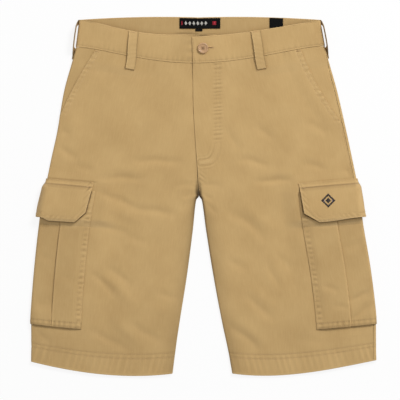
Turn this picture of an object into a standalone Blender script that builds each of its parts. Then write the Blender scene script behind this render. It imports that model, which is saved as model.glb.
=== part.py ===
"""Cargo shorts in cotton twill, laid flat on their back with the front upwards.

Frame: +Z up from the surface, +Y towards the waist, +X towards the wearer's left.
The origin is on the surface, under the middle of the box that the shorts fill.
Sizes are in millimetres until each mesh is written in metres.

Each leg is a flattened ring of cloth. A place on it is given by
    s     the distance round the cloth from the side fold, + over the front and - under the back
    down  the distance down the side from the waist seam
    lift  the distance outwards from the middle of the panel's wall
and lay() turns these into x, y and z. Pockets, flaps, loops and band use the same
function with more lift, so each of them follows the cloth that it is sewn to.
"""

import math
from collections import namedtuple
from functools import lru_cache

import bmesh
import bpy

MM = 0.001

# Walls, in mm
TWILL = 1.0                 # one layer of twill
BAND = 2.0                  # waistband, two layers and its stiffening
FLAP = 1.8                  # cargo flap, two layers
HEM = 1.6                   # leg hem, turned up twice
LOOP = 1.2                  # belt loop
LABEL = 1.0                 # woven label and tabs
SEAM = 0.3                  # space between two pieces
HALF_SEAM = SEAM / 2

FOLD = 2.0                  # radius of the side and inseam folds, at the middle of the wall
QUARTER = FOLD * math.pi / 2

CENTRE_X = -6.8             # centre seam, beside the middle of the whole outline

# One row for each level of a leg. The outer and inner ends are the fold edges of the
# cloth's middle: the side fold, and the centre front or back, or the inseam fold.
Row = namedtuple("Row", "down outer_x outer_y front_x front_y back_x back_y sag")
TOP, CROTCH, LEG_END = -45.0, 230.0, 524.0
CROTCH_ARCH = 236.5         # level at which the round arch between the legs has opened
ROWS = {
    "right": (
        Row(TOP, -203.6, 291.6, -5.3, 267.5, CENTRE_X, 295.6, 0.0),
        Row(0.0, -209.4, 246.7, -5.3, 219.8, CENTRE_X, 249.1, 0.0),
        Row(73.0, -228.7, 175.7, -6.3, 151.0, CENTRE_X, 172.4, 0.0),
        Row(143.0, -240.6, 106.4, -6.9, 83.3, CENTRE_X, 93.2, 0.0),
        Row(184.0, -249.5, 66.1, -9.8, 45.8, CENTRE_X, 50.0, 0.0),
        Row(222.0, -256.9, 29.9, -8.5, 8.0, -7.4, 8.7, 0.0),
        Row(CROTCH, -258.4, 22.3, -7.7, 0.0, -7.7, 0.0, 0.0),
        Row(CROTCH_ARCH, -259.6, 15.8, -12.0, -5.6, -12.0, -5.6, 0.1),
        Row(294.0, -268.8, -42.1, -17.5, -55.3, -17.5, -55.3, 1.0),
        Row(374.0, -277.5, -121.3, -27.6, -132.8, -27.6, -132.8, 2.5),
        Row(453.0, -283.3, -200.5, -39.9, -210.4, -39.9, -210.4, 5.0),
        Row(498.0, -283.1, -246.0, -47.5, -262.5, -47.5, -262.5, 9.2),
        Row(LEG_END, -283.4, -272.8, -51.4, -292.5, -51.4, -292.5, 10.9),
    ),
    "left": (
        Row(TOP, 192.1, 291.6, -18.5, 263.2, CENTRE_X, 295.6, 0.0),
        Row(0.0, 200.0, 248.3, -17.3, 219.8, CENTRE_X, 249.1, 0.0),
        Row(73.0, 220.2, 175.7, -16.2, 151.0, CENTRE_X, 172.4, 0.0),
        Row(143.0, 236.2, 106.4, -12.4, 83.3, CENTRE_X, 93.2, 0.0),
        Row(184.0, 244.8, 66.1, -9.4, 45.8, CENTRE_X, 50.0, 0.0),
        Row(222.0, 252.3, 29.9, -7.4, 8.0, -6.2, 8.7, 0.0),
        Row(CROTCH, 253.9, 22.3, -5.9, 0.0, -5.9, 0.0, 0.0),
        Row(CROTCH_ARCH, 254.6, 15.8, -1.9, -5.6, -1.9, -5.6, 0.1),
        Row(294.0, 261.7, -42.1, 5.1, -55.3, 5.1, -55.3, 1.0),
        Row(374.0, 275.0, -121.3, 17.6, -132.8, 17.6, -132.8, 2.5),
        Row(453.0, 284.2, -200.5, 32.2, -210.4, 32.2, -210.4, 5.0),
        Row(498.0, 284.7, -245.6, 43.5, -262.4, 43.5, -262.4, 9.0),
        Row(LEG_END, 285.2, -270.2, 48.6, -292.3, 48.6, -292.3, 10.2),
    ),
}
# How the front drops from the side to the fly, at the band's top and at the waist seam: the
# smaller the power, the sooner; it is down at this share of the width; and how round it ends
Drop = namedtuple("Drop", "power reach soft")
WAIST_DROP = {
    "right": (Drop(0.75, 0.72, 1.0), Drop(0.76, 0.96, 1.0)),
    "left": (Drop(0.72, 1.0, 0.5), Drop(0.78, 1.0, 1.0)),
}
WAIST_CURVE_ENDS = 143.0    # below this the rows are straight but for their sag
BACK_BOW = 2.6              # the back's top edge bows up this much on each side of the centre
SAG_SKEW = {"left": 0.35, "right": 0.12}        # the sag is more towards the inseam by this share
CROTCH_TURN = 30.0          # length above the crotch in which the centre seam turns inwards

# The side seam, measured round the cloth from the side fold, at the waist and below the hip
SEAM_AT = {"left": (1.5, 5.0), "right": (1.5, 1.5)}
SEAM_SHIFTED = 60.0         # distance down over which it moves from the first to the second

# How the layers lie, in mm above one another
DIP = 1.0                   # the front sinks this much towards the back in mid leg
NEAR_SIDE, MID_LEG = 98.0, 132.0    # the front comes down from the pockets between these
BAND_ROOM = 0.5             # extra height of the front at the waistband
YOKE = 34.0                 # level at which the rises for the band, loops and lap have ended
RAMP_DOWN, RAMP_ACROSS = 14.0, 10.0     # a panel rises over what lies under it in this length
FLAT_EDGE = 18.0            # the front's soft folds fade out this near its inner edge
INNER_STRIP = 40.0          # the inner height is taken this far from the inner edge

# Slanted hip pockets: the opening runs from the waist seam to the side seam
OPENING_IN = {"left": 40.5, "right": 33.0}      # at the waist seam, from the side fold
OPENING_END = {"left": 128.0, "right": 114.0}   # where it meets the side seam, measured down
OPENING_BOW = {"left": 5.5, "right": -3.5}      # curve towards the centre at its middle
FACING_UNDER = 14.0         # how far the facing runs on under the front
FACING_RAMP = 36.0          # where the front has come down off the facing
FACING_ROOM = 0.2           # extra room between them, as both curve round the side

# Fly: the left front laps over the right one
FLY_END, FLY_CLOSED = 184.0, 208.0   # the end of the lap, and where both fronts are level
FLY_OVER, FLY_RAMP = 14.0, 42.0     # flat part of the lap and where its rise has ended
BAND_OVER, BAND_RAMP = 42.0, 70.0   # the same at the waistband
UNDERLAP = 27.0             # the right waistband runs on this far past its front

# Cargo pockets, measured across from the pocket's own centre line
POCKET_SHIFT = {"left": 6.0, "right": -6.0}     # the centre line, from the side fold
POCKET_HALF = 88.0          # to its sewn edge on the back
POCKET_FRONT = {"left": 93.0, "right": 89.6}    # the same on the front
POCKET_TOP, POCKET_END = CROTCH_ARCH, 463.0
PLEAT = 38.0                # fold edge of the inverted box pleat on the back
PLEAT_FRONT = {"left": 36.6, "right": 41.3}     # the same on the front
PLEAT_FOOT = PLEAT - RAMP_DOWN      # where the cloth between the pleats lies flat again
TUCK = 12.0                 # cloth folded under behind that edge
POCKET_RISE = 16.0          # the pocket rises from its sewn edge to its pleat in this width
LAYER = TWILL + SEAM        # from the middle of one layer to the middle of the next

# Cargo flaps
FLAP_TOP, FLAP_END = 222.0, 286.0
FLAP_HELD = 227.5           # held down on the panel by its stitches as far as this
FLAP_CORNER = 274.0         # level at which the cut corner starts
# Half width at the top, at the corner and at the end: on the back, and on each front
FLAP_HALVES = {
    "back": (88.0, 84.0, 65.0), "left": (91.0, 88.0, 64.5), "right": (84.0, 79.0, 63.5),
}
# How much lower the front's lower edge gets, and between which distances from the side fold
FLAP_SLANT = {"left": (4.2, 0.0, 62.0), "right": (5.0, 0.0, 16.0)}
FLAP_LOW = TWILL / 2 + SEAM + FLAP / 2
FLAP_HIGH = 3 * LAYER + TWILL / 2 + SEAM + FLAP / 2
FLAP_STANDOFF = 3.0         # the loose end stands this much prouder on the front

HEM_RAMP, HEM_TOP = 479.0, 493.0    # where it thickens to, and the top of, the turned up hem

# Belt loops
LOOP_WIDTH = 15.0
LOOP_END = 21.0             # how far they run down past the waist seam
LOOP_TURNED = 8.0           # turned under at the lower end
LOOP_SPRING = 1.9           # how far the middle stands off the band
# The side loops leave the side fold and stand on edge along it
SIDE_STAND = 2.7            # how far the upright part is out from where it would lie
SIDE_LEAN = 0.05            # its upper edge is out by this share of its height
SIDE_CORNER = 0.6           # radius of the turn at its foot, where it is upright
SIDE_UNDER = 11.6           # its lower edge lies this far in under the back at both tacks
SIDE_FREED = (0.16, 0.66, 0.92)     # shares of its length: upright from the first to the second
SIDE_BOW = (0.8, 0.45)      # the first moves the farthest place up, the second makes it flatter
BACK_LOOP_LINES = (-25.0, -9.0, 0.0, 9.0, 25.0)     # the back is raised off its loop in these
# Front loops: distance from the side fold at the top and at the lower end
FRONT_LOOPS = {"left": (107.4, 109.8), "right": (90.6, 95.4)}

# Button, turned about its own axis, and where it is sewn
BUTTON_X, BUTTON_DOWN = -2.0, -25.1
BUTTON_RADIUS, BUTTON_THICK = 9.0, 3.2
BUTTON_RIM, BUTTON_WELL = 2.6, 1.0
BUTTON_HOLE, BUTTON_HOLE_RING = 1.0, 2.0
BUTTON_SIDES = 28

# Labels inside the back waistband: x from the centre seam, and distance down from its top
WAIST_LABEL = (-32.2, 35.0, 1.6, 18.2)
SIZE_TAB = (-6.2, 5.6, 18.5, 22.2)
CARE_TAB = (116.3, 138.6, 0.8, 25.0)

# Large soft folds of the front, as ridges (+) or troughs (-) along a line
Crease = namedtuple("Crease", "x0 y0 x1 y1 width height")
CREASES = (
    Crease(-106.0, 58.0, -44.0, 54.0, 10.0, -0.8),
    Crease(-172.0, 30.0, -94.0, 26.0, 10.0, -0.8),
    Crease(-176.0, 6.0, -44.0, -31.0, 14.0, -1.0),
    Crease(-166.0, -48.0, -108.0, -66.0, 12.0, -0.9),
    Crease(-182.0, -138.0, -134.0, -190.0, 13.0, 1.0),
    Crease(-130.0, -186.0, -78.0, -230.0, 13.0, -0.8),
    Crease(-168.0, -222.0, -124.0, -254.0, 11.0, 0.8),
    Crease(-16.0, -8.0, -66.0, -22.0, 9.0, -0.7),
    Crease(18.0, 53.0, 96.0, 50.0, 10.0, -0.8),
    Crease(102.0, 31.0, 146.0, 25.0, 10.0, -0.6),
    Crease(6.0, -10.0, 56.0, -26.0, 9.0, -0.7),
    Crease(34.0, -62.0, 80.0, -98.0, 13.0, 1.0),
    Crease(50.0, -112.0, 128.0, -155.0, 14.0, -0.9),
    Crease(44.0, -230.0, 92.0, -259.0, 12.0, 0.8),
)

# Levels down the leg at which every panel has a row of points. Whatever changes down the
# leg changes evenly between two of these.
LEVELS = (
    HALF_SEAM, LOOP_END, YOKE, 60.0, 82.0, 100.0, 114.0, 128.0, 156.0, 184.0, 208.0, FLAP_TOP,
    FLAP_HELD, CROTCH, CROTCH_ARCH, 250.0, 264.0, FLAP_END, 300.0, 328.0, 356.0, 384.0, 411.0,
    438.0, POCKET_END, HEM_RAMP, HEM_TOP, 508.0, LEG_END,
)


def even(value, start, end):
    """0 before start, 1 after end, and evenly between them."""
    return min(max((value - start) / (end - start), 0.0), 1.0)


def smooth(value, start, end):
    """The same, with soft ends."""
    part = even(value, start, end)
    return part * part * (3.0 - 2.0 * part)


def mix(first, second, part):
    return first + (second - first) * part


# ------------------------------------------------------------------ the outline


@lru_cache(maxsize=None)
def row_at(side, down):
    """The row at any level, on a smooth curve through the rows of the table."""
    rows = ROWS[side]
    last = len(rows) - 2
    here = 0
    while here < last and down > rows[here + 1].down:
        here += 1
    before, after = rows[max(here - 1, 0)], rows[min(here + 2, last + 1)]
    start, end = rows[here], rows[here + 1]
    span = end.down - start.down
    t = (down - start.down) / span
    values = [down]
    for p, q, r, z in list(zip(before, start, end, after))[1:]:
        slope_in = (r - p) / (end.down - before.down) * span
        slope_out = (z - q) / (after.down - start.down) * span
        if start.down == TOP or end.down == after.down:
            slope_in, slope_out = r - q, r - q
        values.append(
            (2 * t**3 - 3 * t**2 + 1) * q
            + (t**3 - 2 * t**2 + t) * slope_in
            + (3 * t**2 - 2 * t**3) * r
            + (t**3 - t**2) * slope_out
        )
    return Row(*values)


def inner_turn(down):
    """How far the inner edge has turned towards the other layer: none above the crotch,
    and a quarter turn below it, where the edge is the inseam fold."""
    return math.pi / 2 * even(down, CROTCH - CROTCH_TURN, CROTCH)


def span(side, front, down):
    """Width of a layer as it lies, from the side fold to the inner edge."""
    row = row_at(side, down)
    x, y = (row.front_x, row.front_y) if front else (row.back_x, row.back_y)
    return math.hypot(x - row.outer_x, y - row.outer_y)


def girth(side, front, down):
    """Length of cloth in that layer, round its folds."""
    turn = inner_turn(down)
    return QUARTER + span(side, front, down) - FOLD + FOLD * (turn - math.sin(turn))


def dropped(drop, part):
    """Share of the front's drop at a share of its width."""
    powered = min(part / drop.reach, 1.0) ** drop.power
    return mix(powered, smooth(powered, 0.0, 1.0), drop.soft)


def plan(side, front, across, down):
    """x and y at a distance in from the side fold, seen from above."""
    row = row_at(side, down)
    x, y = (row.front_x, row.front_y) if front else (row.back_x, row.back_y)
    part = across / span(side, front, down)
    curve = part
    if front and part > 0:
        bend = 1.0 - smooth(down, 0.0, WAIST_CURVE_ENDS)
        drops = [dropped(drop, part) for drop in WAIST_DROP[side]]
        curve = mix(part, mix(*drops, even(down, TOP, 0.0)), bend)
    bow = 4 * part * (1 - part)
    sag = row.sag * bow * (1 + SAG_SKEW[side] * (2 * part - 1))
    if not front:
        sag -= BACK_BOW * bow * (1 - even(down, TOP, 0.0))
    return mix(row.outer_x, x, part), mix(row.outer_y, y, curve) - sag


def seam_at(side, down):
    at_waist, below = SEAM_AT[side]
    return mix(at_waist, below, smooth(down, 0.0, SEAM_SHIFTED))


@lru_cache(maxsize=None)
def opening_at(side, down):
    """Where the slanted pocket opening crosses a level, as a distance from the side fold."""
    end = OPENING_END[side]
    seam = seam_at(side, down)
    if down >= end:
        return seam
    start_x, start_y = plan(side, True, OPENING_IN[side], 0.0)
    end_x, end_y = plan(side, True, seam_at(side, end), end)
    inwards = 1.0 if start_x < 0 else -1.0
    low, high = seam, OPENING_IN[side] + 2 * abs(OPENING_BOW[side])
    for _ in range(30):
        middle = (low + high) / 2
        x, y = plan(side, True, middle, down)
        t = even(start_y - y, 0.0, start_y - end_y)
        line_x = mix(start_x, end_x, t) + inwards * OPENING_BOW[side] * 4 * t * (1 - t)
        if (line_x - x) * inwards > 0:
            low = middle
        else:
            high = middle
    return low


# ------------------------------------------------------------------ the heights


def flap_lift(down):
    """Middle of the flap above the middle of the panel: low where it is stitched down,
    and high enough over the pocket below that."""
    return mix(FLAP_LOW, FLAP_HIGH, even(down, FLAP_HELD, POCKET_TOP))


def pocket_cover(side, s, down):
    """Room that the cargo pocket takes outside the panel."""
    off = abs(s - POCKET_SHIFT[side])
    level = mix(LAYER, 3 * LAYER, even(off, PLEAT_FOOT, PLEAT))
    level = mix(level, LAYER, even(off, POCKET_HALF - POCKET_RISE, POCKET_HALF))
    level *= 1.0 - even(off, POCKET_HALF, POCKET_HALF + RAMP_ACROSS)
    level *= even(down, POCKET_TOP - RAMP_DOWN, POCKET_TOP)
    return level * (1.0 - even(down, POCKET_END, POCKET_END + RAMP_DOWN))


def flap_cover(side, s, down):
    """Room that the flap takes, over the pocket."""
    off = abs(s - POCKET_SHIFT[side])
    level = flap_lift(down) + FLAP / 2 - TWILL / 2
    level *= 1.0 - even(off, POCKET_HALF, POCKET_HALF + RAMP_ACROSS)
    level *= even(down, FLAP_TOP - RAMP_DOWN, FLAP_TOP)
    return level * (1.0 - even(down, FLAP_END, FLAP_END + RAMP_DOWN))


def loop_cover(side, reach, down):
    """Room for the side loop and the centre back loop under the band."""
    shift = POCKET_SHIFT[side]
    off_centre = abs(span(side, False, down) - reach)
    by_side = 1.0 - even(reach, PLEAT_FOOT - shift, PLEAT - shift)
    near = max(by_side, 1.0 - even(off_centre, *BACK_LOOP_LINES[-2:]))
    return near * (LOOP + SEAM) * (1.0 - even(down, LOOP_END, YOKE))


@lru_cache(maxsize=None)
def rest(side, reach, down):
    """Height of the middle of the back panel above the surface."""
    wall = mix(BAND / 2, TWILL / 2, even(down, 0.0, LOOP_END))
    hem = mix(TWILL / 2, HEM / 2, even(down, HEM_RAMP, HEM_TOP))
    under = max(pocket_cover(side, -reach, down), flap_cover(side, -reach, down))
    return max(wall + loop_cover(side, reach, down), hem + under)


@lru_cache(maxsize=None)
def front_height(side, reach, down):
    """Height of the middle of the front panel, before its creases."""
    at_side = rest(side, QUARTER, down) + 2 * FOLD
    width = span(side, True, down)
    part = min(max(reach / width, 0.0), 1.0)
    inner = rest(side, width - INNER_STRIP, down) + 2 * FOLD
    inner += BAND_ROOM * (1.0 - even(down, 0.0, YOKE))
    inner -= DIP * math.sin(math.pi * part) ** 2
    return mix(at_side, inner, smooth(reach, NEAR_SIDE, MID_LEG))


def relief(x, y):
    """Height that the large soft folds add at a place."""
    total = 0.0
    for crease in CREASES:
        along_x, along_y = crease.x1 - crease.x0, crease.y1 - crease.y0
        length = math.hypot(along_x, along_y)
        t = ((x - crease.x0) * along_x + (y - crease.y0) * along_y) / length**2
        off = ((x - crease.x0) * along_y - (y - crease.y0) * along_x) / length
        if 0.0 < t < 1.0:
            ends = math.sin(math.pi * t) ** 0.7
            total += crease.height * ends * math.exp(-((off / crease.width) ** 2))
    return total


def lay(side, s, down, lift=0.0):
    """The place of a point of the laid out cloth, in mm."""
    front = s >= 0
    reach = abs(s)
    width = span(side, front, down)
    if reach < QUARTER:
        angle = reach / FOLD
        out = FOLD + lift
        x, y = plan(side, front, FOLD - out * math.cos(angle), down)
        height = out * math.sin(angle)
        return x, y, rest(side, QUARTER, down) + FOLD + (height if front else -height)
    last_turn = inner_turn(down)
    to_edge = girth(side, front, down) - reach
    turn = max(last_turn - to_edge / FOLD, 0.0) if last_turn else 0.0
    across = FOLD + reach - QUARTER
    if turn:
        short = FOLD * (math.sin(last_turn) - math.sin(turn)) - lift * math.sin(turn)
        across = width - short
    x, y = plan(side, front, across, down)
    drop = FOLD * (1 - math.cos(turn))
    if not front:
        return x, y, rest(side, reach, down) + drop - lift * math.cos(turn)
    ends = smooth(across, NEAR_SIDE, MID_LEG) * smooth(width - across, 0.0, FLAT_EDGE)
    z = front_height(side, min(reach, width), down) + relief(x, y) * ends
    return x, y, z - drop + lift * math.cos(turn)


def back_place(off, down, lift):
    """A point of the back at a distance off the centre seam, + to the wearer's left."""
    side = "left" if off >= 0 else "right"
    return lay(side, -(girth(side, False, down) - abs(off)), down, lift)


# ------------------------------------------------------------------ making the pieces


def material(name, colour, roughness):
    made = bpy.data.materials.new(name)
    made.use_nodes = True
    shader = made.node_tree.nodes["Principled BSDF"]
    shader.inputs["Base Color"].default_value = (*colour, 1.0)
    shader.inputs["Roughness"].default_value = roughness
    shader.inputs["Metallic"].default_value = 0.0
    made.diffuse_color = (*colour, 1.0)
    return made


def finish(bm, name, cloth, smooth_faces=True):
    """Writes a bmesh held in mm as an object in metres."""
    bmesh.ops.recalc_face_normals(bm, faces=bm.faces[:])
    if bm.calc_volume(signed=True) < 0:
        bmesh.ops.reverse_faces(bm, faces=bm.faces[:])
    bmesh.ops.scale(bm, vec=(MM, MM, MM), verts=bm.verts[:])
    mesh = bpy.data.meshes.new(name)
    bm.to_mesh(mesh)
    bm.free()
    if smooth_faces:
        mesh.shade_smooth()
        mesh.set_sharp_from_angle(angle=math.radians(40))
    mesh.materials.append(cloth)
    piece = bpy.data.objects.new(name, mesh)
    bpy.context.scene.collection.objects.link(piece)
    piece.parent = garment
    return piece


def wall(name, columns, levels, place, cloth):
    """A closed wall: a sheet of columns x levels with an inner and an outer skin.

    place(column, level, skin) gives x, y and z in mm. skin is -1 inside and 1 outside.
    """
    wide, tall = len(columns) - 1, len(levels) - 1
    bm = bmesh.new()
    bmesh.ops.create_grid(bm, x_segments=wide, y_segments=tall, size=0.5)
    shell = bmesh.ops.extrude_face_region(bm, geom=bm.faces[:], use_keep_orig=True)
    outer = [item for item in shell["geom"] if isinstance(item, bmesh.types.BMVert)]
    bmesh.ops.translate(bm, vec=(0, 0, 1), verts=outer)
    for vert in bm.verts:
        column = columns[round((vert.co.x + 0.5) * wide)]
        level = levels[round((vert.co.y + 0.5) * tall)]
        vert.co = place(column, level, 1 if vert.co.z > 0.5 else -1)
    return finish(bm, name, cloth)


def panel_wall(down):
    """Thickness of a leg panel: one layer, and more at the turned up hem."""
    return mix(TWILL, HEM, even(down, HEM_RAMP, HEM_TOP))


# Columns of a leg panel. The first few are spread from the seam or the pocket opening to
# the mid leg, the next share the rest of the width, and the last go round the inseam fold.
FRONT_STEPS = (0.0, 1.05, 2.1, 3.3, 16.0, 32.0, 48.0, 64.0, 82.0, NEAR_SIDE)
INNER_SHARES = {True: (0.33, 0.67, 1.0), False: (0.5, 1.0)}
EDGE_STEPS = (FLY_OVER, 3.3, 2.1, 1.05, HALF_SEAM)


def inner_stations(side, front, start, down):
    """Distances from the side fold for the columns between start and the inner edge."""
    whole = girth(side, front, down)
    stations = [mix(start, whole - FLY_RAMP, share) for share in INNER_SHARES[front]]
    return stations + [whole - step for step in EDGE_STEPS]


def front_stations(side, down):
    start = opening_at(side, down) + HALF_SEAM
    reach = (FRONT_STEPS[-1] - start) / FRONT_STEPS[-1]
    stations = [start + step * reach for step in FRONT_STEPS]
    return stations + inner_stations(side, True, FRONT_STEPS[-1], down)


def back_stations(side, down):
    """From the side seam round the fold, then at the pocket's own lines, to the inner edge."""
    start = seam_at(side, down) - HALF_SEAM
    wrap = [mix(start, -QUARTER, share) for share in (0.0, 0.2, 0.4, 0.6, 0.8, 1.0)]
    lines = (PLEAT_FOOT, PLEAT, POCKET_HALF - POCKET_RISE, POCKET_HALF)
    flats = [POCKET_SHIFT[side] - line for line in (*lines, POCKET_HALF + RAMP_ACROSS)]
    inner = [-reach for reach in inner_stations(side, False, -flats[-1], down)]
    return wrap + flats + inner


def front_lift(side, s, down):
    """The front rises over the hip facing, and the left one over the fly of the right."""
    opening = opening_at(side, down)
    off_facing = smooth(s, opening + FACING_UNDER + 1.0, opening + FACING_RAMP)
    end = OPENING_END[side]
    lift = (LAYER + FACING_ROOM) * (1.0 - off_facing) * (1.0 - even(down, end, end + 28.0))
    if side == "left":
        in_from_edge = girth(side, True, down) - s
        band = smooth(in_from_edge, BAND_OVER, BAND_RAMP)
        fly = even(in_from_edge, FLY_OVER, FLY_RAMP)
        below = even(down, 0.0, YOKE)
        lap = mix((BAND + SEAM) * (1.0 - band), LAYER * (1.0 - fly), below)
        lift += lap * (1.0 - even(down, FLY_END, FLY_CLOSED))
    return lift


def make_front(side):
    def place(column, level, skin):
        s = front_stations(side, level)[column]
        return lay(side, s, level, front_lift(side, s, level) + skin * panel_wall(level) / 2)

    columns = range(len(front_stations(side, HALF_SEAM)))
    return wall(f"front_{side}", columns, LEVELS, place, twill)


def make_back(side):
    def place(column, level, skin):
        s = back_stations(side, level)[column]
        return lay(side, s, level, skin * panel_wall(level) / 2)

    columns = range(len(back_stations(side, HALF_SEAM)))
    return wall(f"back_{side}", columns, LEVELS, place, twill)


def make_hip_facing(side):
    """The cloth seen in the slanted opening, which runs on a little under the front."""
    levels = [level for level in LEVELS if level < OPENING_END[side] - 1.0]
    levels.append(OPENING_END[side] - 1.0)

    def place(column, level, skin):
        start = seam_at(side, level) + HALF_SEAM
        s = mix(start, opening_at(side, level) + FACING_UNDER, column)
        return lay(side, s, level, skin * TWILL / 2)

    return wall(f"hip_facing_{side}", (0.0, 0.12, 0.24, 0.5, 0.75, 1.0), levels, place, twill)


BAND_LEVELS = (-HALF_SEAM, -15.0, -30.0, TOP)


def make_front_band(side):
    """A front waistband. The left one laps over the right one, which runs on under it."""
    steps = (0.0, 1.0, 2.1, 14.0, 28.0, 42.0, 56.0, 70.0, 84.0, NEAR_SIDE, 112.0, 126.0)

    def place(column, level, skin):
        start = seam_at(side, level) + HALF_SEAM
        end = girth(side, True, level) + (UNDERLAP if side == "right" else 0.0)
        lap = end - BAND_RAMP
        over = end - BAND_OVER
        tail = (lap, mix(lap, over, 0.5), over, mix(over, end, 0.5), end)
        s = start + steps[column] if column < len(steps) else tail[column - len(steps)]
        lift = skin * BAND / 2
        if side == "left":
            lift += (BAND + SEAM) * (1.0 - smooth(end - s, BAND_OVER, BAND_RAMP))
        return lay(side, s, level, lift)

    return wall(f"waistband_{side}", range(len(steps) + 5), BAND_LEVELS, place, twill)


def make_back_band():
    """The back waistband in one piece, from one side seam round to the other."""
    one_side = [("seam", share) for share in (0.0, 0.25, 0.5, 0.75, 1.0)]
    lines = [("line", off) for off in (PLEAT_FOOT, PLEAT, POCKET_HALF, 140.0)]
    columns = [("right", *stop) for stop in one_side + lines]
    columns += [("centre", "off", off) for off in BACK_LOOP_LINES]
    columns += [("left", *stop) for stop in reversed(one_side + lines)]

    def place(column, level, skin):
        side, kind, value = column
        lift = skin * BAND / 2
        if kind == "off":
            return back_place(value, level, lift)
        if kind == "line":
            return lay(side, POCKET_SHIFT[side] - value, level, lift)
        return lay(side, mix(seam_at(side, level) - HALF_SEAM, -QUARTER, value), level, lift)

    return wall("waistband_back", columns, BAND_LEVELS, place, twill)


def offset_path(path, distance):
    """A path of (along, lift) points moved sideways, keeping the wall's width at its bends."""
    moved = []
    for index, (x, y) in enumerate(path):
        before = path[max(index - 1, 0)]
        after = path[min(index + 1, len(path) - 1)]
        normals = []
        for start, end in ((before, (x, y)), ((x, y), after)):
            dx, dy = end[0] - start[0], end[1] - start[1]
            length = math.hypot(dx, dy)
            if length > 0:
                normals.append((-dy / length, dx / length))
        nx = sum(normal[0] for normal in normals) / len(normals)
        ny = sum(normal[1] for normal in normals) / len(normals)
        scale = distance / (nx * nx + ny * ny)
        moved.append((x + nx * scale, y + ny * scale))
    return moved


def bend(x, y, radius, start, turn, steps=4):
    """Points of a fold about (x, y), from the angle start through the angle turn."""
    angles = [math.radians(start + turn * step / steps) for step in range(steps + 1)]
    return [(x + radius * math.cos(angle), y + radius * math.sin(angle)) for angle in angles]


ROUND_THE_SIDE = (1.0, 0.67, 0.33, 0.0, -0.33, -0.67, -1.0)     # quarter turns of the side fold


def pocket_half(edge, pleat):
    """(across, lift) of the pocket's cloth from its sewn edge to the foot of its pleat."""
    fold = LAYER / 2
    half = [(edge, LAYER), (edge - POCKET_RISE, 3 * LAYER)]
    half += bend(pleat, 2 * LAYER + fold, fold, 90, 180)
    half += bend(pleat + TUCK, LAYER + fold, fold, 90, -180)
    return half + [(pleat - RAMP_DOWN, LAYER)]


def make_cargo_pocket(side):
    """One cloth: sewn edge, up to the pleat's fold, tucked under it and back, and round
    the side fold to the same on the other half."""
    shift = POCKET_SHIFT[side]
    middle = [(QUARTER * share - shift, LAYER) for share in ROUND_THE_SIDE]
    back = [(-x, y) for x, y in reversed(pocket_half(POCKET_HALF, PLEAT))]
    path = pocket_half(POCKET_FRONT[side], PLEAT_FRONT[side]) + middle + back
    skins = {skin: offset_path(path, -skin * TWILL / 2) for skin in (-1, 1)}
    levels = [level for level in LEVELS if POCKET_TOP <= level <= POCKET_END]

    def place(column, level, skin):
        across, lift = skins[skin][column]
        return lay(side, across + shift, level, lift)

    return wall(f"cargo_pocket_{side}", range(len(path)), levels, place, twill)


def flap_half(part, level):
    """Half width of the flap at a level: nearly straight sides, then the cut corner."""
    at_top, at_corner, at_end = FLAP_HALVES[part]
    if level < FLAP_CORNER:
        return mix(at_top, at_corner, even(level, FLAP_TOP, FLAP_CORNER))
    return mix(at_corner, at_end, even(level, FLAP_CORNER, FLAP_END))


def flap_down(side, s, level):
    """The level on the leg of a level on the flap, whose end slants on the front."""
    slant, start, end = FLAP_SLANT[side]
    return level + slant * smooth(s, start, end) * even(level, FLAP_CORNER, FLAP_END)


def make_cargo_flap(side):
    """Sewn on above the pocket and folded down over it, with its corners cut."""
    shift = POCKET_SHIFT[side]
    levels = (FLAP_TOP, FLAP_HELD, POCKET_TOP, 246.0, 259.0, FLAP_CORNER, 280.0, FLAP_END)
    ends = (1.0, 0.8, 0.6, 0.4, 0.2)
    columns = [("front", share) for share in ends]
    columns += [("turn", share) for share in ROUND_THE_SIDE]
    columns += [("back", share) for share in reversed(ends)]

    def place(column, level, skin):
        part, share = column
        if part == "front":
            s = mix(QUARTER, shift + flap_half(side, level), share)
        elif part == "back":
            s = mix(-QUARTER, shift - flap_half(part, level), share)
        else:
            s = QUARTER * share
        loose = smooth(level, FLAP_HELD, FLAP_END)
        stand = FLAP_STANDOFF * loose * smooth(s, -QUARTER, 0.0)
        down = flap_down(side, s, level)
        return lay(side, s, down, flap_lift(level) + stand + skin * FLAP / 2)

    return wall(f"cargo_flap_{side}", columns, levels, place, twill)


def make_front_loop(side):
    """Tacked over the band's top edge, standing off the band, and turned under below it."""
    low = TWILL / 2 + SEAM + LOOP / 2
    fold = (LOOP + SEAM) / 2
    path = [(LOOP_END - LOOP_TURNED, low)]
    path += bend(LOOP_END - fold, low + fold, fold, -90, 180)
    path += [
        (LOOP_END - LOOP_TURNED - 2.0, low + 2 * fold + 0.3),
        (-8.0, BAND / 2 + SEAM + LOOP / 2 + LOOP_SPRING),
        (-26.0, BAND / 2 + SEAM + LOOP / 2 + LOOP_SPRING),
        (-38.0, BAND / 2 + SEAM + LOOP / 2 + 0.9),
        (TOP, BAND / 2 + SEAM + LOOP / 2),
    ]
    skins = {skin: offset_path(path, skin * LOOP / 2) for skin in (-1, 1)}
    at_top, at_end = FRONT_LOOPS[side]

    def place(column, level, skin):
        down, lift = skins[skin][level]
        middle = mix(at_top, at_end, even(down, TOP, LOOP_END))
        return lay(side, middle + column * LOOP_WIDTH / 2, down, lift)

    return wall(f"belt_loop_front_{side}", (-1, 0, 1), range(len(path)), place, twill)


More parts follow.
